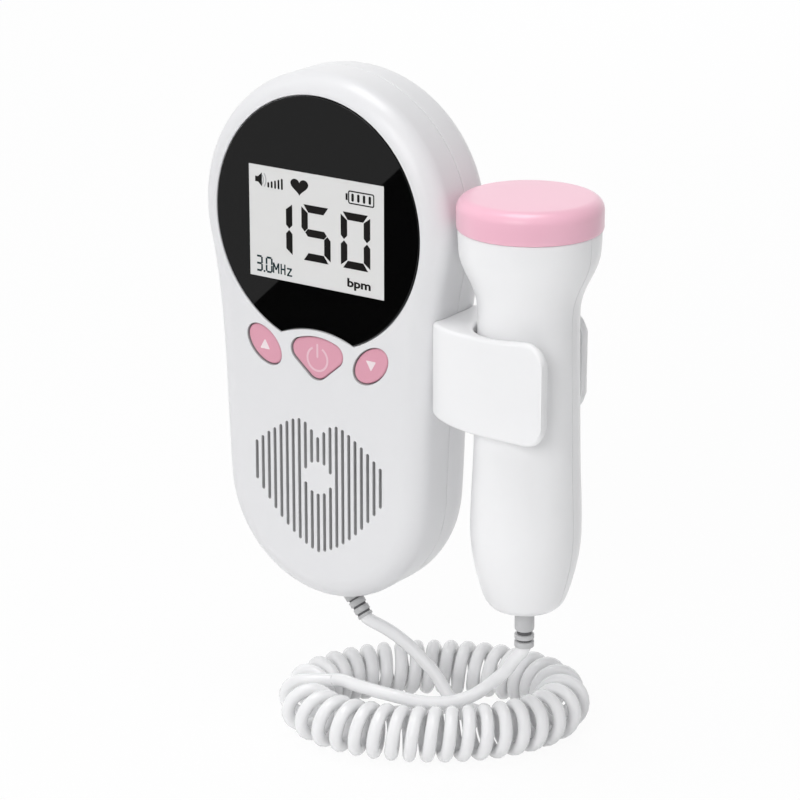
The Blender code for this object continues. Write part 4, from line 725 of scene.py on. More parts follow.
@dataclass
class Layout:
    """The casing's main sizes and places, as in the solids."""

    seat_gap: float = 0.3 * MM
    head_radius: float = 37.0 * MM
    foot_radius: float = 30.7 * MM
    foot_z: float = -70.1 * MM
    depth: float = 28.0 * MM
    parting_depth: float = 12.8 * MM
    shoulder_angle: float = math.radians(13)
    waist_angle: float = math.radians(4)
    front_edge: float = 6.0 * MM
    rear_edge: float = 11.2 * MM
    wall: float = 2.0 * MM
    face_wall: float = 2.8 * MM

    @property
    def front_y(self) -> float:
        """Depth of the flat face."""
        return -self.depth

    @property
    def parting_y(self) -> float:
        """Depth of the parting line."""
        return self.parting_depth - self.depth

    def outline(self, inset: float, fine: int = 1) -> list[Point2]:
        """The casing's outline moved inwards, counterclockwise from the foot.

        Args:
            inset: Distance inwards, in metres.
            fine: Multiplies the number of points.

        Returns:
            Points (x, z) of the closed outline.
        """
        head, foot = self.head_radius - inset, self.foot_radius - inset
        lower = arc((0, self.foot_z), foot, -math.pi / 2, -self.waist_angle, 24 * fine)
        upper = arc((0, 0), head, -self.shoulder_angle, math.pi / 2, 32 * fine)
        start, end = Vector(lower[-1]), Vector(upper[0])
        chord = (end - start).length
        leave = Vector((math.sin(self.waist_angle), math.cos(self.waist_angle))) * chord
        arrive = Vector((math.sin(self.shoulder_angle), math.cos(self.shoulder_angle))) * chord
        side = []
        steps = 16 * fine
        for k in range(1, steps):
            t = k / steps
            point = ((2 * t ** 3 - 3 * t ** 2 + 1) * start + (t ** 3 - 2 * t ** 2 + t) * leave
                     + (3 * t ** 2 - 2 * t ** 3) * end + (t ** 3 - t ** 2) * arrive)
            side.append((point.x, point.y))
        right = lower + side + upper
        return right + [(-x, z) for x, z in reversed(right[1:-1])]

    def edge(self, radius: float, face_y: float, side_y: float, steps: int) -> list[Point2]:
        """(inset, y) points round a quarter edge, from the face out to the side."""
        inwards = math.copysign(radius, side_y - face_y)
        return [(radius * inset, face_y + inwards * depth) for inset, depth in quarter(steps)]

    def envelope(self, growth: float) -> Shape:
        """The whole casing as one closed form, grown on all sides."""
        front = self.edge(self.front_edge, self.front_y - growth, self.parting_y, 8)
        rear = self.edge(self.rear_edge, growth, self.parting_y, 14)
        profile = front + list(reversed(rear))
        return loft([flat_ring(self.outline(inset - growth), y) for inset, y in profile])


LAYOUT = Layout()


@dataclass
class DisplayWindow:
    """The black window in the face, with its grey display and what it shows.

    Sizes of the window are in metres, and those of the marks in millimetres about the head's middle.
    """

    half_width: float = 30.9 * MM
    half_height: float = 31.9 * MM
    drop: float = 0.5 * MM
    thickness: float = 1.3 * MM
    notch_x: float = 11.0 * MM
    arch_rise: float = 2.3 * MM
    edge: float = 0.22 * MM
    view_half_width: float = 20.7 * MM
    view_half_height: float = 14.45 * MM
    view_drop: float = 2.45 * MM
    mark_y: float = -27.97 * MM
    panel_y: float = -27.94 * MM
    mark_depth: float = 0.05 * MM
    view_corner: float = 0.15 * MM
    panel_slack: float = 0.03 * MM
    panel_edge: float = 0.02 * MM
    digits: tuple[tuple[float, str], ...] = ((-16.15, "bc"), (-4.4, "afgcd"), (7.65, "abcdef"))
    digit_width: float = 8.9
    digit_foot: float = -10.4
    digit_height: float = 14.3
    digit_corner: float = 0.5
    stroke: float = 1.95
    stroke_gap: float = 0.16
    small_digits: tuple[tuple[float, str], ...] = ((-18.6, "abgcd"), (-15.5, "abcdef"))
    small_width: float = 1.65
    small_height: float = 3.7
    small_foot: float = -15.35
    small_stroke: float = 0.5
    small_gap: float = 0.12
    small_dot: float = -16.45
    letter_stroke: float = 0.4
    letter_lines: tuple[tuple[float, float, float, float], ...] = (
        (-13.3, 0, -13.3, 2.7), (-13.25, 2.6, -12.5, 0.9), (-12.5, 0.9, -11.75, 2.6), (-11.7, 0, -11.7, 2.7),
        (-10.9, 0, -10.9, 2.7), (-9.75, 0, -9.75, 2.7), (-10.75, 1.35, -9.9, 1.35),
        (-9.1, 1.8, -7.55, 1.8), (-7.8, 1.65, -8.85, 0.15), (-9.1, 0.05, -7.5, 0.05))
    heart_x: float = -4.95
    heart_foot: float = 5.76
    heart_half_width: float = 2.75
    heart_rise: float = 0.146
    speaker: tuple[Point2, ...] = ((-18.7, 7.6), (-17.8, 7.6), (-16.6, 6.5), (-16.6, 10.1), (-17.8, 9.0),
                                   (-18.7, 9.0))
    wave_middle: Point2 = (-18.1, 8.3)
    wave_radii: tuple[float, ...] = (2.1, 2.9)
    wave_stroke: float = 0.28
    wave_span: float = math.radians(38)
    battery_rings: tuple[tuple[float, ...], ...] = ((9.95, 17.8, 6.1, 9.5, 0.55),
                                                    (10.28, 17.47, 6.43, 9.17, 0.3))
    battery_cap: tuple[Point2, ...] = ((9.2, 6.95), (9.8, 6.95), (9.8, 8.65), (9.2, 8.65))
    level_start: Point2 = (-14.6, 6.8)
    level_pitch: float = 1.06
    level_heights: tuple[float, ...] = (1.4, 1.75, 2.1, 2.45, 2.85)
    level_half_width: float = 0.29
    cell_start: Point2 = (11.3, 7.8)
    cell_pitch: float = 1.72
    cell_half_length: float = 0.65
    cell_half_width: float = 0.38
    cell_count: int = 4

    def outline(self, offset: float, fine: int = 3) -> list[Point2]:
        """The round window with its arch over the power button, moved outwards by offset."""
        half_width, half_height = self.half_width + offset, self.half_height + offset
        notch_x = self.notch_x + offset
        notch = math.acos(notch_x / half_width)
        steps = 36 * fine
        points = []
        for k in range(steps + 1):
            angle = -notch + (math.pi + 2 * notch) * k / steps
            points.append((half_width * math.cos(angle), half_height * math.sin(angle) - self.drop))
        radius = (notch_x ** 2 + self.arch_rise ** 2) / (2 * self.arch_rise)
        half_angle = math.asin(notch_x / radius)
        centre = (0, points[0][1] + self.arch_rise - radius)
        arch = arc(centre, radius, math.pi / 2 + half_angle, math.pi / 2 - half_angle, 8 * fine)
        return points + arch[1:-1]

    def notch_z(self) -> float:
        """Height of the two corners where the arch meets the round edge."""
        share = self.notch_x / self.half_width
        return -self.drop - self.half_height * math.sqrt(1 - share ** 2)

    def view_outline(self, growth: float, radius: float) -> list[Point2]:
        """The display's rectangle, grown on all sides."""
        bottom, top = -self.view_drop - self.view_half_height, self.view_half_height - self.view_drop
        return rounded_rectangle(-self.view_half_width - growth, self.view_half_width + growth,
                                 bottom - growth, top + growth, radius)

    def segment(self, name: str, left: float) -> list[Point2]:
        """One stroke of a seven-part digit, in millimetres.

        Args:
            name: a to g, as such strokes are called, clockwise from the top and then the middle.
            left: Left edge of the digit.

        Returns:
            Its corners, counterclockwise.
        """
        t, g, c = self.stroke, self.stroke_gap, self.digit_corner
        right, foot = left + self.digit_width, self.digit_foot
        top = foot + self.digit_height
        middle = (top + foot) / 2
        half = t / 2
        strokes = {
            "a": [(left + g + c, top), (left + t + g, top - t), (right - t - g, top - t),
                  (right - g - c, top)],
            "d": [(left + g + c, foot), (right - g - c, foot), (right - t - g, foot + t),
                  (left + t + g, foot + t)],
            "g": [(left + half + g, middle), (left + t, middle - half), (right - t, middle - half),
                  (right - half - g, middle), (right - t, middle + half), (left + t, middle + half)],
            "f": [(left, top - c - g), (left, middle + half + g), (left + half, middle + g),
                  (left + t, middle + half + g), (left + t, top - t - g)],
            "e": [(left, foot + c + g), (left + t, foot + t + g), (left + t, middle - half - g),
                  (left + half, middle - g), (left, middle - half - g)],
            "b": [(right, top - c - g), (right - t, top - t - g), (right - t, middle + half + g),
                  (right - half, middle + g), (right, middle + half + g)],
            "c": [(right, foot + c + g), (right, middle - half - g), (right - half, middle - g),
                  (right - t, middle - half - g), (right - t, foot + t + g)],
        }
        return strokes[name]

    def mark(self, outline: Sequence[Point2]) -> Shape:
        """A thin raised mark from corners in millimetres."""
        scaled = [(x * MM, z * MM) for x, z in outline]
        return prism(scaled, self.mark_y, self.mark_y + self.mark_depth)

    def heart(self) -> list[Point2]:
        """The heart sign, in millimetres."""
        points = []
        steps, half, low = 48, 16, 17
        for k in range(steps):
            t = 2 * math.pi * k / steps
            x = half * math.sin(t) ** 3
            z = 13 * math.cos(t) - 5 * math.cos(2 * t) - 2 * math.cos(3 * t) - math.cos(4 * t)
            points.append((self.heart_x + x * self.heart_half_width / half,
                           self.heart_foot + (z + low) * self.heart_rise))
        return points[::-1]

    def frame_of_battery(self) -> Shape:
        """The battery sign's outline."""
        outer, inner = (rounded_rectangle(*ring) for ring in self.battery_rings)
        vertices = [Vector((x * MM, y, z * MM)) for y in (self.mark_y, self.mark_y + self.mark_depth)
                    for ring in (outer, inner) for x, z in ring]
        count = len(outer)
        faces = []
        for i in range(count):
            j = (i + 1) % count
            faces.append((i, j, count + j, count + i))
            faces.append((2 * count + i, 3 * count + i, 3 * count + j, 2 * count + j))
            faces.append((i, 2 * count + i, 2 * count + j, j))
            faces.append((count + i, count + j, 3 * count + j, 3 * count + i))
        return vertices, faces

    def words(self, text: str, size: float, left: float, foot: float, width: float,
              boldness: float) -> Shape:
        """A word in plain letters as a thin closed form.

        Args:
            text: What it says.
            size: Letter size in millimetres.
            left: Left edge in millimetres.
            foot: Base line in millimetres.
            width: Width that the word is fitted to, in millimetres.
            boldness: How far the strokes are thickened, in millimetres.

        Returns:
            The word's form in its place.
        """
        curve = bpy.data.curves.new(text, "FONT")
        curve.body = text
        curve.size = size
        curve.offset = boldness
        curve.extrude = self.mark_depth / MM / 2
        curve.resolution_u = 3
        obj = bpy.data.objects.new(text, curve)
        bpy.context.scene.collection.objects.link(obj)
        bpy.context.view_layer.update()
        mesh = bpy.data.meshes.new_from_object(obj.evaluated_get(bpy.context.evaluated_depsgraph_get()))
        work = bmesh.new()
        work.from_mesh(mesh)
        bmesh.ops.remove_doubles(work, verts=work.verts, dist=1e-5)
        low = min(v.co.x for v in work.verts)
        high = max(v.co.x for v in work.verts)
        middle = self.mark_y + self.mark_depth / 2
        vertices = [Vector(((left + (v.co.x - low) * width / (high - low)) * MM, middle - v.co.z * MM,
                            (foot + v.co.y) * MM)) for v in work.verts]
        work.verts.index_update()
        faces = [tuple(v.index for v in f.verts) for f in work.faces]
        work.free()
        bpy.data.meshes.remove(mesh)
        drop(obj)
        return vertices, faces

    def stroke_between(self, first: Point2, last: Point2, width: float) -> Shape:
        """A straight stroke with square ends between two points in millimetres."""
        one, two = Vector(first), Vector(last)
        side = (two - one).normalized().orthogonal() * width / 2
        return self.mark([tuple(one + side), tuple(one - side), tuple(two - side), tuple(two + side)])

    def frequency(self) -> list[Shape]:
        """The small reading "3.0" in stroked digits, and its unit in stroked letters."""
        shapes = []
        foot, top, gap = self.small_foot, self.small_foot + self.small_height, self.small_gap
        middle = (foot + top) / 2
        for left, names in self.small_digits:
            right = left + self.small_width
            ends = {"a": ((left + gap, top), (right - gap, top)),
                    "b": ((right, top - gap), (right, middle + gap)),
                    "c": ((right, middle - gap), (right, foot + gap)),
                    "d": ((left + gap, foot), (right - gap, foot)),
                    "e": ((left, middle - gap), (left, foot + gap)),
                    "f": ((left, top - gap), (left, middle + gap)),
                    "g": ((left + gap, middle), (right - gap, middle))}
            shapes += [self.stroke_between(*ends[name], self.small_stroke) for name in names]
        shapes.append(self.stroke_between((self.small_dot, foot), (self.small_dot + self.small_stroke, foot),
                                          self.small_stroke))
        return shapes + [self.stroke_between((x1, foot + z1), (x2, foot + z2), self.letter_stroke)
                         for x1, z1, x2, z2 in self.letter_lines]

    def build_window(self) -> None:
        """The black window with its rectangular opening, and the grey display in it."""
        shape = eased_prism(self.outline(0), LAYOUT.front_y, LAYOUT.front_y + self.thickness, self.edge)
        window = make_piece("display_window", shape, WINDOW_BLACK.material())
        half_way = LAYOUT.front_y + self.thickness / 2
        opening = prism(self.view_outline(0, self.view_corner), LAYOUT.front_y - MM, half_way)
        combine(window, make_piece("opening", opening), "DIFFERENCE")
        flatten_face(window, LAYOUT.front_y, -1)
        attach(window, Body.CASING, "lens_black", "display_lens")
        panel = eased_prism(self.view_outline(-self.panel_slack, self.view_corner - self.panel_slack),
                            self.panel_y, half_way - self.panel_edge / 2, self.panel_edge, 1)
        attach(make_piece("display_panel", panel, DISPLAY_GREY.material()), Body.CASING, "display_grey")

    def build_marks(self) -> None:
        """Digits, signs and words of the reading."""
        dark = [self.mark(self.segment(name, left)) for left, names in self.digits for name in names]
        dark += [self.mark(self.heart()), self.mark(self.speaker), self.mark(self.battery_cap)]
        dark.append(self.words("bpm", size=3.0, left=9.55, foot=-15.0, width=7.1, boldness=0.1))
        waves, span = [], self.wave_span
        for radius in self.wave_radii:
            waves.append(self.mark(arc(self.wave_middle, radius, -span, span, 12)
                                   + arc(self.wave_middle, radius - self.wave_stroke, span, -span, 12)))
        for name, shape, finish in (("display_marks", joined(dark), MARK_DARK),
                                    ("display_battery_frame", self.frame_of_battery(), MARK_DARK),
                                    ("display_sound_waves", joined(waves), MARK_FAINT),
                                    ("display_frequency", joined(self.frequency()), MARK_TEAL)):
            attach(make_piece(name, shape, finish.material()), Body.CASING, "dark_plastic")

    def bars(self, name: str, start: Point2, pitch: float, half_width: float,
             rise: Sequence[float], reach: Sequence[float]) -> None:
        """A row of round-ended bars.

        Args:
            name: Name of the piece.
            start: Where the first bar's points are measured from.
            pitch: Distance from bar to bar.
            half_width: Half a bar's width.
            rise: How far each bar goes up before its round end.
            reach: How far each bar goes down before its round end.
        """
        places = [Vector(((start[0] + pitch * k) * MM, self.mark_y, start[1] * MM)) for k in range(len(rise))]
        values = {"rise": [length * MM for length in rise], "reach": [length * MM for length in reach]}
        row = bar_row(half_width * MM, self.mark_depth)
        piece = row.run(name, places, values, round_unit(0, 0, 12), MARK_DARK.material())
        attach(piece, Body.CASING, "dark_plastic")

    def build_bars(self) -> None:
        """The five rising loudness bars and the four battery bars."""
        rise = [height - 2 * self.level_half_width for height in self.level_heights]
        self.bars("display_level_bars", self.level_start, self.level_pitch, self.level_half_width,
                  rise, [0.0] * len(rise))
        half = [self.cell_half_length] * self.cell_count
        self.bars("display_battery_bars", self.cell_start, self.cell_pitch, self.cell_half_width, half, half)

    def build(self) -> None:
        """Build the whole window."""
        self.build_window()
        self.build_marks()
        self.build_bars()


WINDOW = DisplayWindow()


@dataclass
class ButtonSet:
    """Two tilted ovals and a rounded triangle, with their signs."""

    fit: float = 0.2 * MM
    sink: float = 0.25 * MM
    flange: float = 0.9 * MM
    flange_depth: float = 0.8 * MM
    crown: float = 0.7 * MM
    crown_share: float = 0.7
    chamfer: float = 0.15 * MM
    side_x: float = 16.5 * MM
    side_drop: float = 4.3 * MM
    side_long: float = 6.0 * MM
    side_short: float = 3.8 * MM
    side_tilt: float = math.radians(42)
    power_drop: float = 1.4 * MM
    power_half_width: float = 11.0 * MM
    power_shoulder: float = 3.3 * MM
    power_height: float = 12.6 * MM
    power_corner: float = 3.0 * MM
    power_foot: float = 3.4 * MM
    power_crown: float = 16.0 * MM
    sign_height: float = 0.03 * MM
    ring_radius: float = 3.1 * MM
    ring_half_width: float = 0.28 * MM
    ring_z: float = -35.7 * MM
    ring_gap: float = math.radians(28)
    bar_foot: float = 0.3 * MM
    bar_top: float = 4.0 * MM
    arrow_size: float = 1.55 * MM
    arrow_share: float = 0.85
    arrow_corner: float = 0.15 * MM

    def oval(self, tilt: float) -> list[Point2]:
        """A full oval about its own middle."""
        points = []
        steps = 72
        for k in range(steps):
            angle = 2 * math.pi * k / steps
            u, v = self.side_long * math.cos(angle), self.side_short * math.sin(angle)
            points.append((u * math.cos(tilt) - v * math.sin(tilt), u * math.sin(tilt) + v * math.cos(tilt)))
        return points

    def triangle(self) -> list[Point2]:
        """The power button about its own middle."""
        top = self.power_height / 2
        shoulder = top - self.power_shoulder
        corners = [(0, -top), (self.power_half_width, shoulder), (0, top), (-self.power_half_width, shoulder)]
        radii = [self.power_foot, self.power_corner, self.power_crown, self.power_corner]
        return rounded_polygon(corners, radii, 18)

    def places(self) -> list[tuple[Body, list[Point2], float, float]]:
        """(body, outline, x, z) of each button."""
        side_z = WINDOW.notch_z() - self.side_drop
        power_z = WINDOW.notch_z() + WINDOW.arch_rise - self.power_drop - self.power_height / 2
        return [(Body.UP, self.oval(-self.side_tilt), -self.side_x, side_z),
                (Body.POWER, self.triangle(), 0, power_z),
                (Body.DOWN, self.oval(self.side_tilt), self.side_x, side_z)]

    def cutters(self) -> list[Shape]:
        """The holes in the face, each with a fine chamfer."""
        shapes = []
        levels = [(self.fit + 3 * self.chamfer, -2 * self.chamfer), (self.fit, self.chamfer),
                  (self.fit, 2 * LAYOUT.face_wall)]
        for _, outline, x, z in self.places():
            shapes.append(loft([flat_ring(shifted(grown(outline, offset), x, z), LAYOUT.front_y + y)
                                for offset, y in levels]))
        return shapes

    def build(self) -> None:
        """Build each button and its sign."""
        top_y = LAYOUT.front_y + self.sink
        flange_y = LAYOUT.front_y + LAYOUT.face_wall + LAYOUT.seat_gap
        for body, outline, x, z in self.places():
            drop = self.crown * self.crown_share
            rings = [flat_ring(grown(outline, -self.crown * inset), top_y + drop * depth)
                     for inset, depth in quarter(8)]
            rings.append(flat_ring(outline, flange_y))
            wide = grown(outline, self.flange)
            rings += [flat_ring(wide, flange_y), flat_ring(wide, flange_y + self.flange_depth)]
            vertices, faces = loft([[v + Vector((x, 0, z)) for v in ring] for ring in rings])
            button = make_piece(f"{body.value}_cap", (vertices, faces), PINK_BUTTON.material())
            flatten_face(button, top_y, -1)
            attach(button, body, "pink_plastic", body.value)
            self.build_sign(body, x, z, top_y)

    def build_sign(self, body: Body, x: float, z: float, top_y: float) -> None:
        """The white sign on a button: a ring with a bar, or an arrow head."""
        front, rear = top_y - self.sign_height, top_y + self.sign_height
        if body is Body.POWER:
            middle, half = (x, self.ring_z), self.ring_half_width
            first, last = math.pi / 2 + self.ring_gap, math.pi * 5 / 2 - self.ring_gap
            outline = (arc(middle, self.ring_radius + half, first, last, 48)
                       + arc(middle, self.ring_radius - half, last, first, 48))
            bar = rounded_rectangle(x - half, x + half, self.ring_z + self.bar_foot,
                                    self.ring_z + self.bar_top, half * 0.9)
            shape = joined([prism(outline, front, rear), prism(bar, front, rear)])
        else:
            up = 1 if body is Body.UP else -1
            half, tall = self.arrow_size, self.arrow_size * self.arrow_share
            corners = [(-half, -up * tall), (half, -up * tall), (0, up * tall)]
            if up < 0:
                corners.reverse()
            arrow = rounded_polygon(corners, [self.arrow_corner] * 3, 3)
            shape = prism(shifted(arrow, x, z), front, rear)
        finish = ICON_SOFT if body is Body.POWER else ICON_WHITE
        attach(make_piece(f"{body.value}_sign", shape, finish.material()), body, "pink_plastic")


BUTTONS = ButtonSet()


@dataclass
class Grille:
    """Upright slots whose ends draw a heart, with a round blank in the middle."""

    count: int = 21
    pitch: float = 1.942 * MM
    half_width: float = 0.38 * MM
    blank_radius: float = 4.3 * MM
    blank_rise: float = 2.7 * MM
    tops: tuple[float, ...] = (0.70, 0.79, 0.875, 0.905, 0.88, 0.83, 0.765, 0.70, 0.63, 0.55, 0.47)
    feet: tuple[float, ...] = (-0.90, -0.87, -0.825, -0.77, -0.70, -0.62, -0.53, -0.43, -0.315, -0.195, -0.07)

    def spans(self, index: int) -> list[tuple[float, float]]:
        """(bottom, top) of each stretch of one slot, counted from the middle of the heart."""
        half_heart = self.pitch * (self.count - 1) / 2
        x = self.pitch * index
        top = LAYOUT.foot_z + self.tops[abs(index)] * half_heart
        bottom = LAYOUT.foot_z + self.feet[abs(index)] * half_heart
        if abs(x) >= self.blank_radius:
            return [(bottom, top)]
        reach = math.sqrt(self.blank_radius ** 2 - x ** 2)
        middle = LAYOUT.foot_z + self.blank_rise
        return [(bottom, middle - reach), (middle + reach, top)]

    def cutter(self) -> bpy.types.Object:
        """All slots as one tool, each with a fine chamfer, whose cut walls take a grey that is painted shade.
        """
        places, half_lengths = [], []
        span = (self.count - 1) // 2
        for index in range(-span, span + 1):
            for bottom, top in self.spans(index):
                places.append(Vector((self.pitch * index, LAYOUT.front_y, (bottom + top) / 2)))
                half_lengths.append((top - bottom) / 2 - self.half_width)
        depth = LAYOUT.face_wall + MM
        row = bar_row(self.half_width, depth)
        # The slot walls take the tool's grey, which is painted shade.
        return row.run("slot_cutter", places, {"rise": half_lengths, "reach": half_lengths},
                       round_unit(0.25, 0.05), SLOT_WALL_PAINTED_SHADE.material())

    def build(self) -> None:
        """Dress the cloth behind the slots."""
        dress_node("grille_cloth", CLOTH)


GRILLE = Grille()


def dress_node(node: str, finish: Finish) -> None:
    """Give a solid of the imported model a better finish."""
    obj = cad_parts[node]
    material = finish.material()
    if not obj.material_slots:
        obj.data.materials.append(material)
    for slot in obj.material_slots:
        slot.material = material


@dataclass
class Casing:
    """Front and rear shells, battery cover and the screws at the back."""

    lip: float = 0.12 * MM
    seam: float = 0.16 * MM
    recess_slack: float = 0.3 * MM
    recess_depth: float = 1.6 * MM
    recess_chamfer: float = 0.22 * MM
    cell_length: float = 50.5 * MM
    bay_top: float = -26.0 * MM
    bay_bottom: float = -81.0 * MM
    bay_half_width: float = 14.95 * MM
    bay_floor_y: float = -17.1 * MM
    bay_wall: float = 2.4 * MM
    bay_front_y: float = -18.8 * MM
    cover_thickness: float = 2.0 * MM
    cover_ledge: float = 1.4 * MM
    cover_corner: float = 3.0 * MM
    post_edge: float = 9.5 * MM
    post_angle: float = math.radians(60)
    post_radius: float = 3.8 * MM
    screw_head: float = 2.4 * MM
    screw_head_height: float = 1.8 * MM
    screw_sink: float = 3.1 * MM
    cover_edge: float = 0.3 * MM
    seat_lip: float = 0.15 * MM
    seat_flare: float = 0.6 * MM
    seat_overrun: float = 0.45 * MM
    groove_count: int = 3
    groove_margin: float = 4.0 * MM
    groove_pitch: float = 2.4 * MM
    groove_half_width: float = 0.5 * MM
    groove_half_length: float = 6.5 * MM
    groove_depth: float = 1.0 * MM

    def shell(self, face_y: float, side_y: float, edge: float, face_wall: float, steps: int) -> Shape:
        """A dished half of the casing with a fine lip at its parting edge."""
        towards = math.copysign(1, side_y - face_y)
        outer = LAYOUT.edge(edge, face_y, side_y - towards * self.lip, steps)
        outer = outer + [(0, side_y - towards * self.lip), (self.lip, side_y)]
        inner = LAYOUT.edge(edge - LAYOUT.wall, face_y + towards * face_wall, side_y, 6)
        inner = inner + [(0, side_y)]
        profile = outer + [(inset + LAYOUT.wall, y) for inset, y in reversed(inner)]
        return loft([flat_ring(LAYOUT.outline(inset), y) for inset, y in profile])

    def build_front(self) -> None:
        """Front shell with its window recess, button holes and grille."""
        shape = self.shell(LAYOUT.front_y, LAYOUT.parting_y, LAYOUT.front_edge, LAYOUT.face_wall, 16)
        front = make_piece("casing_front", shape, WHITE_SHELL.material())
        levels = [(self.recess_slack + 3 * self.recess_chamfer, -2 * self.recess_chamfer),
                  (self.recess_slack, self.recess_chamfer), (self.recess_slack, self.recess_depth)]
        rings = [flat_ring(WINDOW.outline(offset), LAYOUT.front_y + y) for offset, y in levels]
        combine(front, make_piece("recess", loft(rings)), "DIFFERENCE")
        combine(front, GRILLE.cutter(), "DIFFERENCE")
        # The hole walls take the same grey, which is painted shade.
        holes = make_piece("button_holes", joined(BUTTONS.cutters()), SLOT_WALL_PAINTED_SHADE.material())
        combine(front, holes, "DIFFERENCE")
        flatten_face(front, LAYOUT.front_y, -1)
        attach(front, Body.CASING, "white_plastic", "front_shell")

    def posts(self) -> list[Point2]:
        """(x, z) of the four case screws."""
        head, foot = LAYOUT.head_radius - self.post_edge, LAYOUT.foot_radius - self.post_edge
        cosine, sine = math.cos(self.post_angle), math.sin(self.post_angle)
        return [(-head * cosine, head * sine), (-foot * cosine, LAYOUT.foot_z - foot * sine),
                (head * cosine, head * sine), (foot * cosine, LAYOUT.foot_z - foot * sine)]

    def post(self, place: Point2) -> Shape:
        """A screw post that runs back into the rear wall and follows its rounded edge."""
        x, z = place
        start_y = LAYOUT.parting_y + LAYOUT.seat_gap
        middle_z, radius = (0, LAYOUT.head_radius) if z > 0 else (LAYOUT.foot_z, LAYOUT.foot_radius)
        bar = turned([(0, 0), (self.post_radius, 0), (self.post_radius, -start_y), (0, -start_y)], 32)
        vertices, faces = placed(bar, along((0, 1, 0), (x, start_y, z)))
        for vertex in vertices:
            if vertex.y > start_y / 2:
                inset = radius - math.hypot(vertex.x, vertex.z - middle_z)
                across = max(LAYOUT.rear_edge - inset, 0)
                vertex.y = math.sqrt(LAYOUT.rear_edge ** 2 - across ** 2) - LAYOUT.rear_edge - LAYOUT.wall / 2
        return vertices, faces

    def build_rear(self) -> None:
        """Rear shell with its battery bay and screw wells."""
        shape = self.shell(0, LAYOUT.parting_y + self.seam, LAYOUT.rear_edge, LAYOUT.wall, 22)
        rear = make_piece("casing_rear", shape, WHITE_SHELL.material())
        half, wall = self.bay_half_width, self.bay_wall
        box = rounded_rectangle(-half - wall, half + wall, self.bay_bottom - wall, self.bay_top + wall,
                                self.cover_corner)
        posts = [self.post(place) for place in self.posts()]
        solids = [prism(box, self.bay_front_y, -LAYOUT.wall / 2), *posts]
        combine(rear, make_piece("rear_solids", joined(solids)), "UNION")
        bay = rounded_rectangle(-half, half, self.bay_bottom, self.bay_top, MM)
        margin = self.cover_ledge + LAYOUT.seat_gap
        seat = rounded_rectangle(-half - margin, half + margin, self.bay_bottom - margin,
                                 self.bay_top + margin, self.cover_corner)
        ledge = -self.cover_thickness - LAYOUT.seat_gap
        rings = [flat_ring(bay, self.bay_floor_y), flat_ring(bay, ledge), flat_ring(seat, ledge),
                 flat_ring(seat, -self.seat_lip), flat_ring(grown(seat, self.seat_flare), self.seat_overrun)]
        well = self.screw_head + LAYOUT.seat_gap
        start = -self.screw_head_height - self.screw_sink
        wells = [placed(turned([(0, 0), (well, 0), (well, MM - start), (0, MM - start)], 40),
                        along((0, 1, 0), (x, start, z))) for x, z in self.posts()]
        combine(rear, make_piece("rear_holes", joined([loft(rings)] + wells)), "DIFFERENCE")
        flatten_face(rear, 0, 1)
        attach(rear, Body.CASING, "white_plastic", "rear_shell")

    def build_cover(self) -> None:
        """Snap-in battery cover with its grip grooves."""
        wide = self.bay_half_width + self.cover_ledge
        bottom, top = self.bay_bottom - self.cover_ledge, self.bay_top + self.cover_ledge
        outline = rounded_rectangle(-wide, wide, bottom, top, self.cover_corner, 10)
        cover = make_piece("battery_lid", eased_prism(outline, -self.cover_thickness, 0, self.cover_edge),
                           WHITE_SHELL.material())
        count, half = self.groove_count, [self.groove_half_length] * self.groove_count
        row = bar_row(self.groove_half_width, self.groove_half_width + self.groove_depth)
        grooves = row.run("groove_cutter", [Vector((0, 0, 0))] * count, {"rise": half, "reach": half},
                          round_unit(0, 0), None)
        turn = Matrix.Rotation(math.pi / 2, 4, "Y")
        share = len(grooves.data.vertices) // count
        for i, vertex in enumerate(grooves.data.vertices):
            height = top - self.groove_margin - self.groove_pitch * (i // share)
            vertex.co = turn @ vertex.co + Vector((0, -self.groove_half_width, height))
        combine(cover, grooves, "DIFFERENCE")
        flatten_face(cover, 0, 1)
        attach(cover, Body.COVER, "white_plastic", "battery_cover")

    def build_screws(self) -> None:
        """Cross-headed screws in the wells at the back and in the clip."""
        seat = -self.screw_head_height - self.screw_sink
        places = [Vector((x, seat, z)) for x, z in self.posts()]
        build_screw_row("case_screws", places, (0, 1, 0), self.screw_head, Body.CASING,
                        [f"case_screw_{n}" for n in range(1, 5)])

    def build(self) -> None:
        """Build the casing."""
        self.build_front()
        self.build_rear()
        self.build_cover()
        self.build_screws()


CASING = Casing()


def screw_unit() -> bpy.types.Object:
    """A cross-headed screw of head radius 1, with its head's seat at the origin and its head up +Z."""
    shank, shank_length, rim, dome = 0.5, 4.0, 0.30, 0.42
    cross_length, cross_width, cross_corner, cross_top = 0.62, 0.11, 0.08, 1.2
    head = [(0, -shank_length), (shank, -shank_length), (shank, 0), (1, 0), (1, rim)]
    head += [(math.cos(a), rim + dome * math.sin(a)) for a in (0.3, 0.6, 0.9, 1.2, 1.45)]
    unit = make_piece("screw_unit", turned(head + [(0, rim + dome)], 40))
    outline = rounded_rectangle(-cross_length, cross_length, -cross_width, cross_width, cross_corner, 3)
    slot = loft([[Vector((x, y, z)) for x, y in outline] for z in (rim, cross_top)])
    for quarters in range(2):
        turn = Matrix.Rotation(math.pi / 2 * quarters, 4, "Z")
        combine(unit, make_piece("cross", placed(slot, turn)), "DIFFERENCE")
    return unit


def build_screw_row(name: str, places: Sequence[Vector], facing: Sequence[float],
                    head_radius: float, body: Body, nodes: Sequence[str]) -> None:
    """Screws of one size on their places, as one piece."""
    count = len(places)
    row = unit_row(head_radius)
    piece = row.run(name, places, {"facing": [tuple(facing)] * count, "girth": [1.0] * count,
                                   "length": [1.0] * count}, screw_unit(), STEEL.material())
    attach(piece, body, "steel", *nodes)


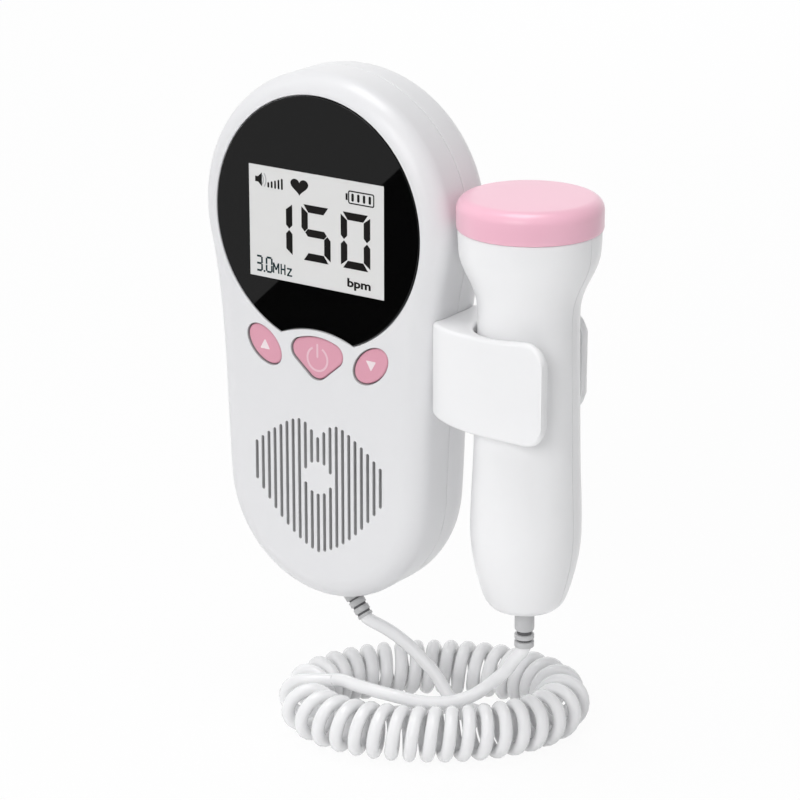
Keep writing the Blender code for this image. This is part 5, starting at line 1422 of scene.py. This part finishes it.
@dataclass
class Probe:
    """Turned handle in two halves with its pink end cap."""

    cap_radius: float = 17.85 * MM
    cap_height: float = 8.0 * MM
    cap_edge: float = 3.2 * MM
    cap_wall: float = 1.6 * MM
    seam_z: float = 4.35 * MM
    x: float = 55.15 * MM
    y: float = -16.0 * MM
    length: float = 97.15 * MM
    wall: float = 1.8 * MM
    seam: float = 0.07 * MM
    cap_gap: float = 0.08 * MM
    rim: float = 0.25 * MM
    bore: float = 2.2 * MM
    foot_edge: float = 0.6 * MM
    shares: tuple[Point2, ...] = (
        (0, 0.975), (0.03, 0.971), (0.06, 0.96), (0.081, 0.935), (0.1, 0.896), (0.12, 0.845), (0.139, 0.795),
        (0.165, 0.74), (0.194, 0.706), (0.238, 0.695), (0.31, 0.70), (0.432, 0.717), (0.605, 0.74),
        (0.717, 0.765), (0.783, 0.773), (0.827, 0.762), (0.878, 0.723), (0.93, 0.655), (0.966, 0.595),
        (0.987, 0.54), (1, 0.47))

    def middle(self, z: float = 0.0) -> Vector:
        """A point on the probe's axis."""
        return Vector((self.x, self.y, z))

    def build_handle(self) -> None:
        """The two half shells, with a hairline between them."""
        nodes = [Vector(point) for point in self.shares]
        nodes = [2 * nodes[0] - nodes[1], *nodes, 2 * nodes[-1] - nodes[-2]]
        steps = 5
        outer = [(radius * self.cap_radius, -drop * self.length)
                 for drop, radius in curve_through(nodes, steps)]
        outer[0] = (outer[0][0], -self.cap_gap - self.rim)
        outer.insert(0, (outer[0][0] - self.rim * 0.7, -self.cap_gap))
        floor = -self.length + self.wall
        inner = [(radius - self.wall, height) for radius, height in outer[1::steps]
                 if height > floor + self.wall]
        inner[0] = (inner[0][0], -self.cap_gap)
        foot_radius = outer[-1][0]
        foot = [(foot_radius - self.foot_edge, -self.length), (self.bore, -self.length), (self.bore, floor),
                (foot_radius - self.wall, floor)]
        profile = outer + foot + inner[::-1]
        for name, start, side, node in (("handle_front", math.pi, -1, "probe_front_shell"),
                                        ("handle_rear", 0.0, 1, "probe_rear_shell")):
            half = turned(profile, 72, start, math.pi)
            place = Matrix.Translation(self.middle(self.seam_z) + Vector((0, side * self.seam, 0)))
            piece = make_piece(name, placed(half, place), WHITE_HANDLE.material())
            attach(piece, Body.PROBE, "white_plastic", node)

    def build_cap(self) -> None:
        """The pink end cap with its soft shoulder."""
        low = self.cap_gap
        outer = [(self.cap_radius * 0.985, low), (self.cap_radius * 0.995, low + 0.2 * MM),
                 (self.cap_radius, low + 0.7 * MM)]
        outer += [(self.cap_radius - self.cap_edge * depth, self.cap_height - self.cap_edge * inset)
                  for inset, depth in quarter(14)]
        middle = self.cap_radius - self.cap_edge
        roof, inside = self.cap_height - self.cap_wall, self.cap_radius - self.cap_wall
        corner = self.cap_edge - self.cap_wall
        profile = [(0, self.cap_height), (middle * 0.5, self.cap_height)] + outer[::-1]
        profile += [(inside, low), (inside, roof - corner), (inside - corner, roof), (0, roof)]
        shape = placed(turned(profile, 128), Matrix.Translation(self.middle(self.seam_z)))
        attach(make_piece("end_cap", shape, PINK_CAP.material()), Body.PROBE, "cap_plastic", "probe_cap")

    def build(self) -> None:
        """Build the probe."""
        self.build_handle()
        self.build_cap()


PROBE = Probe()


@dataclass
class SideClip:
    """A bent plate that holds the handle: a long front arm, a root on the casing, a short rear arm."""

    wall: float = 2.6 * MM
    grip: float = 13.3 * MM
    top: float = -20.1 * MM
    height: float = 25.1 * MM
    end_rise: float = 0.9 * MM
    root_taper: float = 0.8 * MM
    corner: float = 5.0 * MM
    front_reach: float = 14.0 * MM
    rear_reach: float = 7.2 * MM
    root_reach: float = 23.1 * MM
    root_depth: float = 10.0 * MM
    edge: float = 1.1 * MM
    screw_y: float = -9.0 * MM
    screw_spacing: float = 11.0 * MM
    screw_head: float = 2.2 * MM
    screw_depth: float = 2.0 * MM
    screw_slack: float = 0.3 * MM
    well_depth: float = 8.0 * MM
    saddle_gap: float = 0.12 * MM

    def arm(self, reach: float, side: int) -> list[tuple[Vector, Vector, float, float]]:
        """Stations (outer, inner, top, bottom) of one arm, from its free end to its root."""
        inner_y = PROBE.y + side * self.grip
        outer_y = inner_y + side * self.wall
        bottom = self.top - self.height
        stations = []
        for inset, depth in quarter(12):
            x, lost = PROBE.x + reach - self.corner * depth, self.corner * inset
            stations.append((Vector((x, outer_y)), Vector((x, inner_y)), self.top + self.end_rise - lost,
                             bottom + lost))
        straight = stations[-1][0].x - PROBE.x
        steps = 6
        for k in range(1, steps):
            left = 1 - k / steps
            x = PROBE.x + straight * left
            top = self.top + self.end_rise * left
            stations.append((Vector((x, outer_y)), Vector((x, inner_y)), top, bottom))
        steps = 24
        for k, (inset, depth) in enumerate(quarter(steps)):
            inner = Vector((PROBE.x - self.grip * (1 - inset), inner_y - side * self.grip * depth))
            outer = Vector((PROBE.x - self.root_reach * (1 - inset),
                            outer_y - side * self.root_depth * depth))
            taper = self.root_taper * k / steps
            stations.append((outer, inner, self.top - taper, bottom + taper))
        return stations

    def plate(self) -> Shape:
        """The bent plate with all its edges rounded."""
        front, rear = self.arm(self.front_reach, -1), self.arm(self.rear_reach, 1)
        stations = front + list(reversed(rear[:-1]))
        run = [0.0]
        for one, two in zip(stations, stations[1:]):
            run.append(run[-1] + ((one[0] + one[1]) / 2 - (two[0] + two[1]) / 2).length)
        count = len(stations)
        outline = [(run[k], stations[k][3]) for k in range(count)]
        outline += [(run[k], stations[k][2]) for k in reversed(range(count))]
        layers = [(self.edge * inset, self.edge * depth, True) for inset, depth in quarter(4)]
        layers += [(inset, depth, False) for inset, depth, _ in reversed(layers)]
        rings = []
        for inset, depth, from_outer in layers:
            ring = []
            for i, (s, z) in enumerate(grown(outline, -inset)):
                k = i if i < count else 2 * count - 1 - i
                outer, inner = self.section(stations, run, s, k)
                across = (inner - outer).normalized()
                place = outer + across * depth if from_outer else inner - across * depth
                ring.append(Vector((place.x, place.y, z)))
            rings.append(ring)
        vertices, faces = loft(rings)
        faces = faces[1:-1]
        last = len(vertices) - 2 * count
        for k in range(count - 1):
            faces.append((k, k + 1, 2 * count - 2 - k, 2 * count - 1 - k))
            faces.append((last + k, last + 2 * count - 1 - k, last + 2 * count - 2 - k, last + k + 1))
        return vertices, faces

    def section(self, stations: Sequence[tuple[Vector, Vector, float, float]], run: Sequence[float],
                s: float, k: int) -> tuple[Vector, Vector]:
        """Outer and inner point of the plate at distance s along it, near station k."""
        low = max(k - 1, 0) if s < run[k] else min(k, len(run) - 2)
        span = run[low + 1] - run[low]
        share = (s - run[low]) / span if span > 1e-9 else 0.0
        share = min(max(share, -1.0), 2.0)
        return (stations[low][0].lerp(stations[low + 1][0], share),
                stations[low][1].lerp(stations[low + 1][1], share))

    def build(self) -> None:
        """Build the clip, seated on the casing's side, and its two screws."""
        clip = make_piece("side_clip", self.plate(), WHITE_HANDLE.material(), math.radians(50))
        combine(clip, make_piece("saddle", LAYOUT.envelope(self.saddle_gap)), "DIFFERENCE")
        seat_x = PROBE.x - self.grip - self.screw_depth
        middle = self.top - self.height / 2
        places = [Vector((seat_x, self.screw_y, middle + side * self.screw_spacing / 2)) for side in (1, -1)]
        well = self.screw_head + self.screw_slack
        bore = turned([(0, 0), (well, 0), (well, self.well_depth), (0, self.well_depth)], 32)
        wells = [placed(bore, along((1, 0, 0), place)) for place in places]
        combine(clip, make_piece("wells", joined(wells)), "DIFFERENCE")
        attach(clip, Body.CASING, "white_plastic", "probe_clip")
        build_screw_row("clip_screws", places, (1, 0, 0), self.screw_head, Body.CASING,
                        ["clip_screw_1", "clip_screw_2"])


CLIP = SideClip()


@dataclass
class Relief:
    """A ribbed sleeve where the cord leaves a housing: collars of the sleeve, grey as painted shade, on a
    core that is near black as painted shadow in the grooves.

    Attributes:
        grooves: Start and end of each groove, as shares of the sleeve.
        lead_in: How much of the sleeve's foot the slanted housing hides.
        overreach: How far the last collars reach over the straight start of the cord.
    """

    name: str
    node: str
    body: Body
    mouth: Vector
    direction: Vector
    radius: float
    tip_radius: float
    length: float
    grooves: tuple[Point2, ...]
    core_share: float = 0.74
    lead_in: float = 0.0
    overreach: float = 2.9 * MM
    root: float = 3.0 * MM
    core_drop: float = 0.4 * MM

    def tip(self) -> Vector:
        """Where the cord goes into the sleeve's bore, which the sleeve's last collars reach past."""
        return self.mouth + self.direction * self.length

    def build(self) -> None:
        """A core in near-black painted shadow, with a row of collars in grey painted shade on it."""
        core = self.radius * self.core_share
        reach = self.length + self.overreach
        end = reach - self.core_drop
        shape = turned([(0, -self.root), (core, -self.root), (core, end), (0, end)], 32)
        # The core's near black is painted shadow in the grooves.
        body = make_piece(f"{self.name}_core", placed(shape, along(self.direction, self.mouth)),
                          RELIEF_CORE_PAINTED_SHADE.material())
        attach(body, self.body, "cord_white")
        edges = [0.0] + [share for groove in self.grooves for share in groove] + [1.0]
        places, girth, length = [], [], []
        for first, last in zip(edges[::2], edges[1::2]):
            start = max(first * reach, self.lead_in * 0.35)
            places.append(self.mouth + self.direction * start)
            share = (first + last) / 2
            girth.append(self.radius + (self.tip_radius - self.radius) * share)
            length.append(last * reach - start)
        profile = [(0, 0), (0.9, 0), (0.97, 0.04), (1, 0.12), (1, 0.88), (0.97, 0.96), (0.9, 1), (0, 1)]
        unit = make_piece("collar_unit", turned(profile, 40))
        row = unit_row()
        facing = [tuple(self.direction)] * len(places)
        # The collars' grey is painted shade.
        piece = row.run(f"{self.name}_collars", places, {"facing": facing, "girth": girth, "length": length},
                        unit, RELIEF_SHADED_GREY.material())
        attach(piece, self.body, "cord_white", self.node)


RELIEF_TILT = math.radians(39)
UNIT_RELIEF = Relief(
    "unit_relief", "unit_strain_relief", Body.CASING,
    Vector((-0.6 * MM, -15.05 * MM, -100.8 * MM)), Vector((math.sin(RELIEF_TILT), 0, -math.cos(RELIEF_TILT))),
    2.45 * MM, 2.05 * MM, 6.9 * MM, ((0.437, 0.482), (0.645, 0.702), (0.859, 0.916)), lead_in=2.2 * MM)
PROBE_RELIEF = Relief(
    "probe_relief", "probe_strain_relief", Body.PROBE,
    Vector((55.15 * MM, -16.0 * MM, -92.8 * MM)), Vector((0, 0, -1)),
    2.5 * MM, 2.5 * MM, 8.6 * MM, ((0.61, 0.70), (0.81, 0.86)))


@dataclass
class CordSet:
    """The lead from the casing, the curly ring, and the lead up to the probe."""

    diameter: float = 3.4 * MM
    curl_radius: float = 5.5 * MM
    curl_air: float = 0.45 * MM
    curl_points: int = 24
    half_length: float = 33.2 * MM
    half_width: float = 21.3 * MM
    turn: float = math.radians(35)
    x: float = 26.6 * MM
    y: float = -14.3 * MM
    floor_z: float = -134.2 * MM
    step: float = 1.0 * MM
    ring_steps: int = 1440
    tube_sides: int = 20
    sleeve_overlap: float = 0.3 * MM
    joint_overlap: float = 0.6 * MM
    joint_share: float = 0.998
    unit_route: tuple[tuple[float, float, float], ...] = (
        (-0.355, 0.347, 1.64), (-0.212, 0.191, 1.47), (-0.084, 0.051, 1.24), (0.03, -0.073, 0.98),
        (0.1, -0.17, 0.74), (0.19, -0.25, 0.46), (0.31, -0.2, 0.22), (0.4, -0.01, 0.118),
        (0.35, 0.22, 0.118), (0.18, 0.33, 0.118), (-0.06, 0.31, 0.118), (-0.3, 0.19, 0.118),
        (-0.55, 0.04, 0.118))
    probe_route: tuple[tuple[float, float, float], ...] = (
        (0.6, -0.746, 1.75), (0.542, -0.667, 1.49), (0.441, -0.556, 1.2), (0.316, -0.568, 0.986),
        (0.187, -0.601, 0.882), (0.024, -0.634, 0.854), (-0.136, -0.629, 0.882), (-0.294, -0.596, 0.958),
        (-0.458, -0.53, 1.02), (-0.61, -0.385, 1.04), (-0.71, -0.16, 0.98))

    def ring_point(self, share: float, across: float, height: float) -> Vector:
        """A place by its shares of the ring's half length, half width and the curls' height."""
        a, b = share * self.half_length, across * self.half_width
        curl_height = 2 * self.curl_radius + self.diameter
        return Vector((self.x + a * math.cos(self.turn) - b * math.sin(self.turn),
                       self.y + a * math.sin(self.turn) + b * math.cos(self.turn),
                       self.floor_z + height * curl_height))

    def even(self, fine: Sequence[Vector], count: int) -> list[Vector]:
        """The same line with its points at equal distances, in count steps."""
        lengths = [0.0]
        for one, two in zip(fine, fine[1:]):
            lengths.append(lengths[-1] + (two - one).length)
        path, j = [], 0
        for k in range(count + 1):
            goal = lengths[-1] * k / count
            while j < len(lengths) - 2 and lengths[j + 1] < goal:
                j += 1
            share = (goal - lengths[j]) / (lengths[j + 1] - lengths[j])
            path.append(fine[j].lerp(fine[j + 1], share))
        return path

    def frames(self) -> list[tuple[Vector, Vector, float]]:
        """(place, outward direction, share of a curl gained) per step round the ring."""
        count = self.ring_steps
        angles = [math.pi - 2 * math.pi * k / count for k in range(count + 1)]
        path = self.even([self.ring_point(math.cos(a), math.sin(a), 0.5) for a in angles], count // 2)
        step = (path[1] - path[0]).length
        count = len(path) - 1
        found = []
        for k in range(count):
            ahead = (path[(k + 1) % count] - path[k]).normalized()
            before = (path[k] - path[k - 1 if k else count - 1]).normalized()
            tangent = (ahead + before).normalized()
            inner_step = step * (1 - self.curl_radius * ahead.angle(before) / step)
            found.append((path[k], Vector((-tangent.y, tangent.x, 0)),
                          inner_step / (self.diameter + self.curl_air)))
        return found

    def coil(self) -> tuple[list[Vector], Vector, Vector]:
        """Centre line of the curls, and the directions in which it starts and ends."""
        frames = self.frames()
        total = sum(step[2] for step in frames)
        curls = math.floor(total) - 0.5
        scale = (curls + 0.5) / total
        turns = [0.0]
        for step in frames:
            turns.append(turns[-1] + step[2] * scale)
        points = []
        count = int(curls * self.curl_points)
        j = 0
        side = frames[0][1]
        for k in range(count + 1):
            goal = curls * k / count
            while j < len(frames) - 1 and turns[j + 1] < goal:
                j += 1
            share = (goal - turns[j]) / (turns[j + 1] - turns[j])
            following = frames[(j + 1) % len(frames)]
            middle = frames[j][0].lerp(following[0], share)
            side = frames[j][1].lerp(following[1], share).normalized()
            angle = 2 * math.pi * goal
            outwards = side * math.sin(angle) + Vector((0, 0, math.cos(angle)))
            points.append(middle + self.curl_radius * outwards)
        start = frames[0][1]
        points.insert(0, points[0] - start * self.diameter)
        points.append(points[-1] - side * self.diameter)
        return points, start, -side

    def lead(self, points: Sequence[Vector]) -> list[Vector]:
        """A lead's path: straight first and last stretches, and a smooth curve between them."""
        fine = curve_through(points, 12)
        curved = sum((two - one).length for one, two in zip(fine, fine[1:]))
        return [points[0]] + self.even(fine, max(2, round(curved / self.step))) + [points[-1]]

    def tube(self, name: str, path: Sequence[Vector], diameter: float) -> bpy.types.Object:
        """A round mesh tube along a path, closed at both ends."""
        sides = self.tube_sides
        tangent = (path[1] - path[0]).normalized()
        across = tangent.orthogonal().normalized()
        rings = []
        for k, place in enumerate(path):
            ahead = (path[min(k + 1, len(path) - 1)] - path[max(k - 1, 0)]).normalized()
            across = (tangent.rotation_difference(ahead) @ across).normalized()
            tangent = ahead
            other = tangent.cross(across)
            rings.append([place + (across * math.cos(a) + other * math.sin(a)) * diameter / 2
                          for a in (2 * math.pi * i / sides for i in range(sides))])
        return make_piece(name, loft(rings), CORD_WHITE.material(), math.radians(60))

    def build(self) -> None:
        """Build both cords and hide the solids that they stand for."""
        coil, start_heading, end_heading = self.coil()
        coil_end, coil_start = coil[-1], coil[0]
        tip, direction = UNIT_RELIEF.tip(), UNIT_RELIEF.direction
        route = [tip - direction * self.sleeve_overlap, tip + direction * self.diameter]
        route += [self.ring_point(*shares) for shares in self.unit_route]
        route += [coil_end + end_heading * self.diameter, coil_end]
        path = self.lead(route)[:-1] + coil[::-1]
        curve = bpy.data.curves.new("curly_cord", "CURVE")
        curve.dimensions = "3D"
        curve.bevel_depth = self.diameter / 2
        curve.bevel_resolution = 6
        curve.use_fill_caps = True
        spline = curve.splines.new("POLY")
        spline.points.add(len(path) - 1)
        for point, place in zip(spline.points, path):
            point.co = (*place, 1.0)
        spline.use_smooth = True
        curve.materials.append(CORD_WHITE.material())
        cord = bpy.data.objects.new("curly_cord", curve)
        bpy.context.scene.collection.objects.link(cord)
        attach(cord, Body.CASING, "cord_white", "unit_lead", "curly_coil")

        probe_tip = PROBE_RELIEF.tip()
        route = [probe_tip + Vector((0, 0, self.sleeve_overlap)), probe_tip - Vector((0, 0, self.diameter))]
        route += [self.ring_point(*shares) for shares in self.probe_route]
        route += [coil_start - start_heading * self.diameter, coil_start + start_heading * self.joint_overlap]
        path = self.lead(route)[::-1]
        lead = self.tube("probe_cord", path, self.diameter * self.joint_share)
        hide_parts("probe_lead")
        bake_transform(lead)
        LOG.info("cords built")


@dataclass
class Interior:
    """What is inside: cells and springs as pieces of their own, the rest dressed as it is."""

    cell_radius: float = 7.25 * MM
    cell_x: float = 7.4 * MM
    cell_y: float = -9.55 * MM
    nub_radius: float = 2.75 * MM
    nub_length: float = 1.0 * MM
    spring_length: float = 2.8 * MM
    wire: float = 0.6 * MM
    spring_foot: float = 4.2 * MM
    spring_tip: float = 2.6 * MM
    spring_turns: float = 2.0
    band_share: float = 0.72
    nub_edge: float = 0.3 * MM
    rolled_foot: tuple[Point2, ...] = ((1.6, 0), (1.4, 0.15), (0.5, 0.2), (0.1, 0.5), (0, 0.9))
    rolled_top: tuple[Point2, ...] = ((0, 0.9), (0.1, 0.5), (0.5, 0))
    nub_groove: tuple[Point2, ...] = ((1.2, 0), (1.0, 0.2), (0, 0.2))
    finishes: dict[str, Finish] = field(default_factory=lambda: {
        "display_glass": DISPLAY_GREY, "display_backlight": WHITE_HANDLE, "main_board": BOARD,
        "processor_chip": CHIP, "amplifier_chip": CHIP, "up_switch": CHIP, "power_switch": CHIP,
        "down_switch": CHIP, "speaker_frame": STEEL, "speaker_cone": CLOTH, "speaker_magnet": CHIP,
        "left_cell_contact": STEEL, "right_cell_contact": STEEL, "board_screw_1": STEEL,
        "board_screw_2": STEEL, "board_screw_3": STEEL, "board_screw_4": STEEL,
        "transducer_holder": CHIP, "transmit_crystal": COPPER, "receive_crystal": COPPER,
        "probe_board": BOARD})

    def stand(self, up: int, height: float) -> Matrix:
        """Where a part stands above the left bay's foot for up 1, or below the right bay's top for -1."""
        end = CASING.bay_bottom if up > 0 else CASING.bay_top
        return along((0, 0, up), (-up * self.cell_x, self.cell_y, end + up * height))

    def build_cells(self) -> None:
        """Two cells, one either way up, each with a metal band at its raised end."""
        long = CASING.cell_length
        nub = long - self.nub_length
        r, nub_r, edge = self.cell_radius, self.nub_radius, self.nub_edge
        band = nub * self.band_share
        sleeve = [(0, 0), *((r - inset * MM, height * MM) for inset, height in self.rolled_foot)]
        sleeve += [(r, band), (0, band)]
        top = [(0, band), (r, band), *((r - inset * MM, nub - drop * MM) for inset, drop in self.rolled_top)]
        top += [(nub_r + out * MM, nub - drop * MM) for out, drop in self.nub_groove]
        top += [(nub_r, long - edge), (nub_r - edge, long), (0, long)]
        for name, up in (("left", 1), ("right", -1)):
            turn = self.stand(up, 2 * LAYOUT.seat_gap + self.spring_length)
            body = make_piece(f"{name}_cell_body", placed(turned(sleeve, 64), turn), CELL_BLACK.material())
            attach(body, Body.CASING, "dark_plastic", f"{name}_cell")
            end = make_piece(f"{name}_cell_band", placed(turned(top, 64), turn), CELL_GOLD.material())
            attach(end, Body.CASING, "dark_plastic")

    def build_springs(self) -> None:
        """Coned springs from a Geometry Nodes spiral."""
        for name, up in (("left", 1), ("right", -1)):
            row = Repeater("coned_spring", {"Foot Radius": self.spring_foot, "Tip Radius": self.spring_tip,
                                            "Height": self.spring_length - self.wire, "Wire": self.wire / 2})
            spiral = row.node("GeometryNodeCurveSpiral", {
                "Resolution": 40, "Rotations": self.spring_turns, "Height": row.given["Height"],
                "Start Radius": row.given["Foot Radius"], "End Radius": row.given["Tip Radius"]})
            ring = row.node("GeometryNodeCurvePrimitiveCircle",
                            {"Resolution": 12, "Radius": row.given["Wire"]})
            tube = row.node("GeometryNodeCurveToMesh", {
                "Curve": spiral.outputs["Curve"], "Profile Curve": ring.outputs["Curve"], "Fill Caps": True})
            real = row.node("GeometryNodeRealizeInstances", {"Geometry": tube.outputs["Mesh"]})
            row.finish(real.outputs["Geometry"])
            spring = row.run(f"{name}_spring", [Vector((0, 0, 0))], {}, None, STEEL.material())
            spring.data.transform(self.stand(up, LAYOUT.seat_gap + self.wire / 2))
            attach(spring, Body.CASING, "steel", f"{name}_cell_spring")

    def build(self) -> None:
        """Build and dress what is inside."""
        self.build_cells()
        self.build_springs()
        for node, finish in self.finishes.items():
            dress_node(node, finish)


@dataclass(frozen=True)
class Lamp:
    """A soft square lamp: its place and size in metres, its power in watts."""

    name: str
    place: tuple[float, float, float]
    size: float
    power: float
    in_gloss: bool = True


@dataclass
class Studio:
    """Camera, floor, cards and soft lamps."""

    target: Vector = field(default_factory=lambda: Vector((25.47, -28.0, -41.59)) * MM)
    distance: float = 740.741 * MM
    azimuth: float = math.radians(35)
    elevation: float = math.radians(18.5)
    lens: float = 135.0
    sensor: float = 36.0
    nearest: float = 0.01
    floor_z: float = -134.25 * MM
    floor_half_size: float = 3.0
    floor_tone: float = 0.9
    floor_glow: float = 0.94
    bright_side: Vector = field(default_factory=lambda: Vector((-0.45, -0.6, 0.65)))
    world_tone: tuple[float, ...] = (0.98, 0.985, 1.0, 1.0)
    world_low: float = 0.22
    world_high: float = 0.45
    white: tuple[float, ...] = (1.0, 1.0, 1.0, 1.0)
    card_line: tuple[Point2, Point2] = ((-115.6 * MM, -44.9 * MM), (-176.1 * MM, -100.9 * MM))
    card_y: float = -228 * MM
    card_reach: float = 0.42
    cards: tuple[tuple[str, int, float], ...] = (("grey_card", -1, 0.41), ("black_card", 1, 0.0))
    lamp_aim: Vector = field(default_factory=lambda: Vector((0.02, -0.015, -0.05)))
    lamps: tuple[Lamp, ...] = (
        Lamp("key_lamp", (0.25, -1.05, 0.50), 0.55, 5.1), Lamp("top_lamp", (0.0, -0.15, 1.1), 0.6, 4.7),
        Lamp("left_lamp", (-0.95, -0.6, 0.45), 0.6, 0.9),
        Lamp("back_lamp", (-0.55, 1.0, 0.45), 0.6, 3.2, in_gloss=False))

    def link(self, name: str, data: bpy.types.ID, place: Sequence[float], aim: Vector) -> bpy.types.Object:
        """A camera or lamp at a place, looking along aim."""
        obj = bpy.data.objects.new(name, data)
        obj.location = place
        obj.rotation_mode = "QUATERNION"
        obj.rotation_quaternion = aim.to_track_quat("-Z", "Y")
        bpy.context.scene.collection.objects.link(obj)
        return obj

    def build_camera(self) -> None:
        """The camera at the photograph's viewing angle."""
        back = Vector((math.sin(self.azimuth) * math.cos(self.elevation),
                       -math.cos(self.azimuth) * math.cos(self.elevation), math.sin(self.elevation)))
        data = bpy.data.cameras.new("camera")
        data.lens = self.lens
        data.sensor_width = self.sensor
        data.clip_start = self.nearest
        bpy.context.scene.camera = self.link("camera", data, self.target + back * self.distance, -back)

    def emptied(self, owner: bpy.types.World | bpy.types.Material) -> NodeTree:
        """The node tree of a world or material, with nothing in it."""
        owner.use_nodes = True
        owner.node_tree.nodes.clear()
        return NodeTree(owner.node_tree)

    def seen_rays(self, nodes: NodeTree) -> bpy.types.NodeSocket:
        """A factor of 1 for what the camera, gloss and glass see, and 0 for the light itself."""
        rays = nodes.node("ShaderNodeLightPath").outputs
        seen = nodes.maths("MAXIMUM", rays["Is Camera Ray"], rays["Is Glossy Ray"])
        return nodes.maths("MAXIMUM", seen, rays["Is Transmission Ray"])

    def build_world(self) -> None:
        """A soft surround, brighter above the front left, that is pure white where it is seen."""
        world = bpy.data.worlds.new("surround")
        bpy.context.scene.world = world
        nodes = self.emptied(world)
        place = nodes.node("ShaderNodeTexCoord").outputs["Generated"]
        towards = nodes.node("ShaderNodeVectorMath", {0: place, 1: self.bright_side.normalized()},
                             operation="DOT_PRODUCT")
        level = nodes.node("ShaderNodeMapRange", {"Value": towards.outputs["Value"], "From Min": -1.0,
                                                  "To Min": self.world_low, "To Max": self.world_high})
        lit = nodes.node("ShaderNodeBackground",
                         {"Color": self.world_tone, "Strength": level.outputs["Result"]})
        seen = nodes.node("ShaderNodeBackground", {"Color": self.white})
        mix = nodes.node("ShaderNodeMixShader", {"Fac": self.seen_rays(nodes), 1: lit.outputs[0],
                                                 2: seen.outputs[0]})
        nodes.node("ShaderNodeOutputWorld", {"Surface": mix.outputs[0]})

    def sheet(self, name: str, corners: Sequence[Sequence[float]]) -> tuple[bpy.types.Object, NodeTree]:
        """A flat stage piece through its corners, and its material's empty node tree."""
        mesh = bpy.data.meshes.new(name)
        mesh.from_pydata([tuple(c) for c in corners], [], [tuple(range(len(corners)))])
        obj = bpy.data.objects.new(name, mesh)
        bpy.context.scene.collection.objects.link(obj)
        material = bpy.data.materials.new(name)
        mesh.materials.append(material)
        return obj, self.emptied(material)

    def build_floor(self) -> None:
        """A wide pale floor that keeps a faint shadow."""
        half, z = self.floor_half_size, self.floor_z
        _, nodes = self.sheet("floor",
                              [(-half, -half, z), (half, -half, z), (half, half, z), (-half, half, z)])
        matt = nodes.node("ShaderNodeBsdfDiffuse", {"Color": (*[self.floor_tone] * 3, 1.0)})
        glow = nodes.node("ShaderNodeEmission", {"Color": self.white})
        share = nodes.maths("MULTIPLY", self.seen_rays(nodes), self.floor_glow)
        mix = nodes.node("ShaderNodeMixShader", {"Fac": share, 1: matt.outputs[0], 2: glow.outputs[0]})
        nodes.node("ShaderNodeOutputMaterial", {"Surface": mix.outputs[0]})

    def build_card(self, name: str, side: int, level: float) -> None:
        """A card before the object that only its gloss sees; the two meet along a slanted line.

        Args:
            name: The card's name.
            side: -1 for the card on the line's upper side, 1 for the other.
            level: How bright it is.
        """
        start, end = (Vector(point) for point in self.card_line)
        along_line = (end - start).normalized()
        across = Vector((-along_line.y, along_line.x)) * side
        middle = (start + end) / 2
        ends = [middle - along_line * self.card_reach, middle + along_line * self.card_reach]
        outline = [*ends, ends[1] + across * self.card_reach, ends[0] + across * self.card_reach]
        card, nodes = self.sheet(name, [(p.x, self.card_y, p.y) for p in outline])
        glow = nodes.node("ShaderNodeEmission", {"Color": (level, level, level, 1.0)})
        nodes.node("ShaderNodeOutputMaterial", {"Surface": glow.outputs[0]})
        card.visible_camera = False
        card.visible_diffuse = False
        card.visible_shadow = False
        card.visible_transmission = False

    def build_lamp(self, lamp: Lamp) -> None:
        """A soft square lamp that looks at the object's middle."""
        data = bpy.data.lights.new(lamp.name, "AREA")
        data.shape = "SQUARE"
        data.size = lamp.size
        data.energy = lamp.power
        obj = self.link(lamp.name, data, lamp.place, self.lamp_aim - Vector(lamp.place))
        obj.visible_glossy = lamp.in_gloss

    def build(self) -> None:
        """Build the studio."""
        bpy.context.scene.view_settings.view_transform = "Standard"
        self.build_camera()
        self.build_world()
        self.build_floor()
        for card in self.cards:
            self.build_card(*card)
        for lamp in self.lamps:
            self.build_lamp(lamp)


def main() -> None:
    """Build everything in order."""
    Studio().build()
    CordSet().build()
    UNIT_RELIEF.build()
    PROBE_RELIEF.build()
    CASING.build()
    WINDOW.build()
    BUTTONS.build()
    GRILLE.build()
    PROBE.build()
    CLIP.build()
    Interior().build()


if __name__ == "__main__":
    logging.basicConfig(level=logging.INFO)
    main()
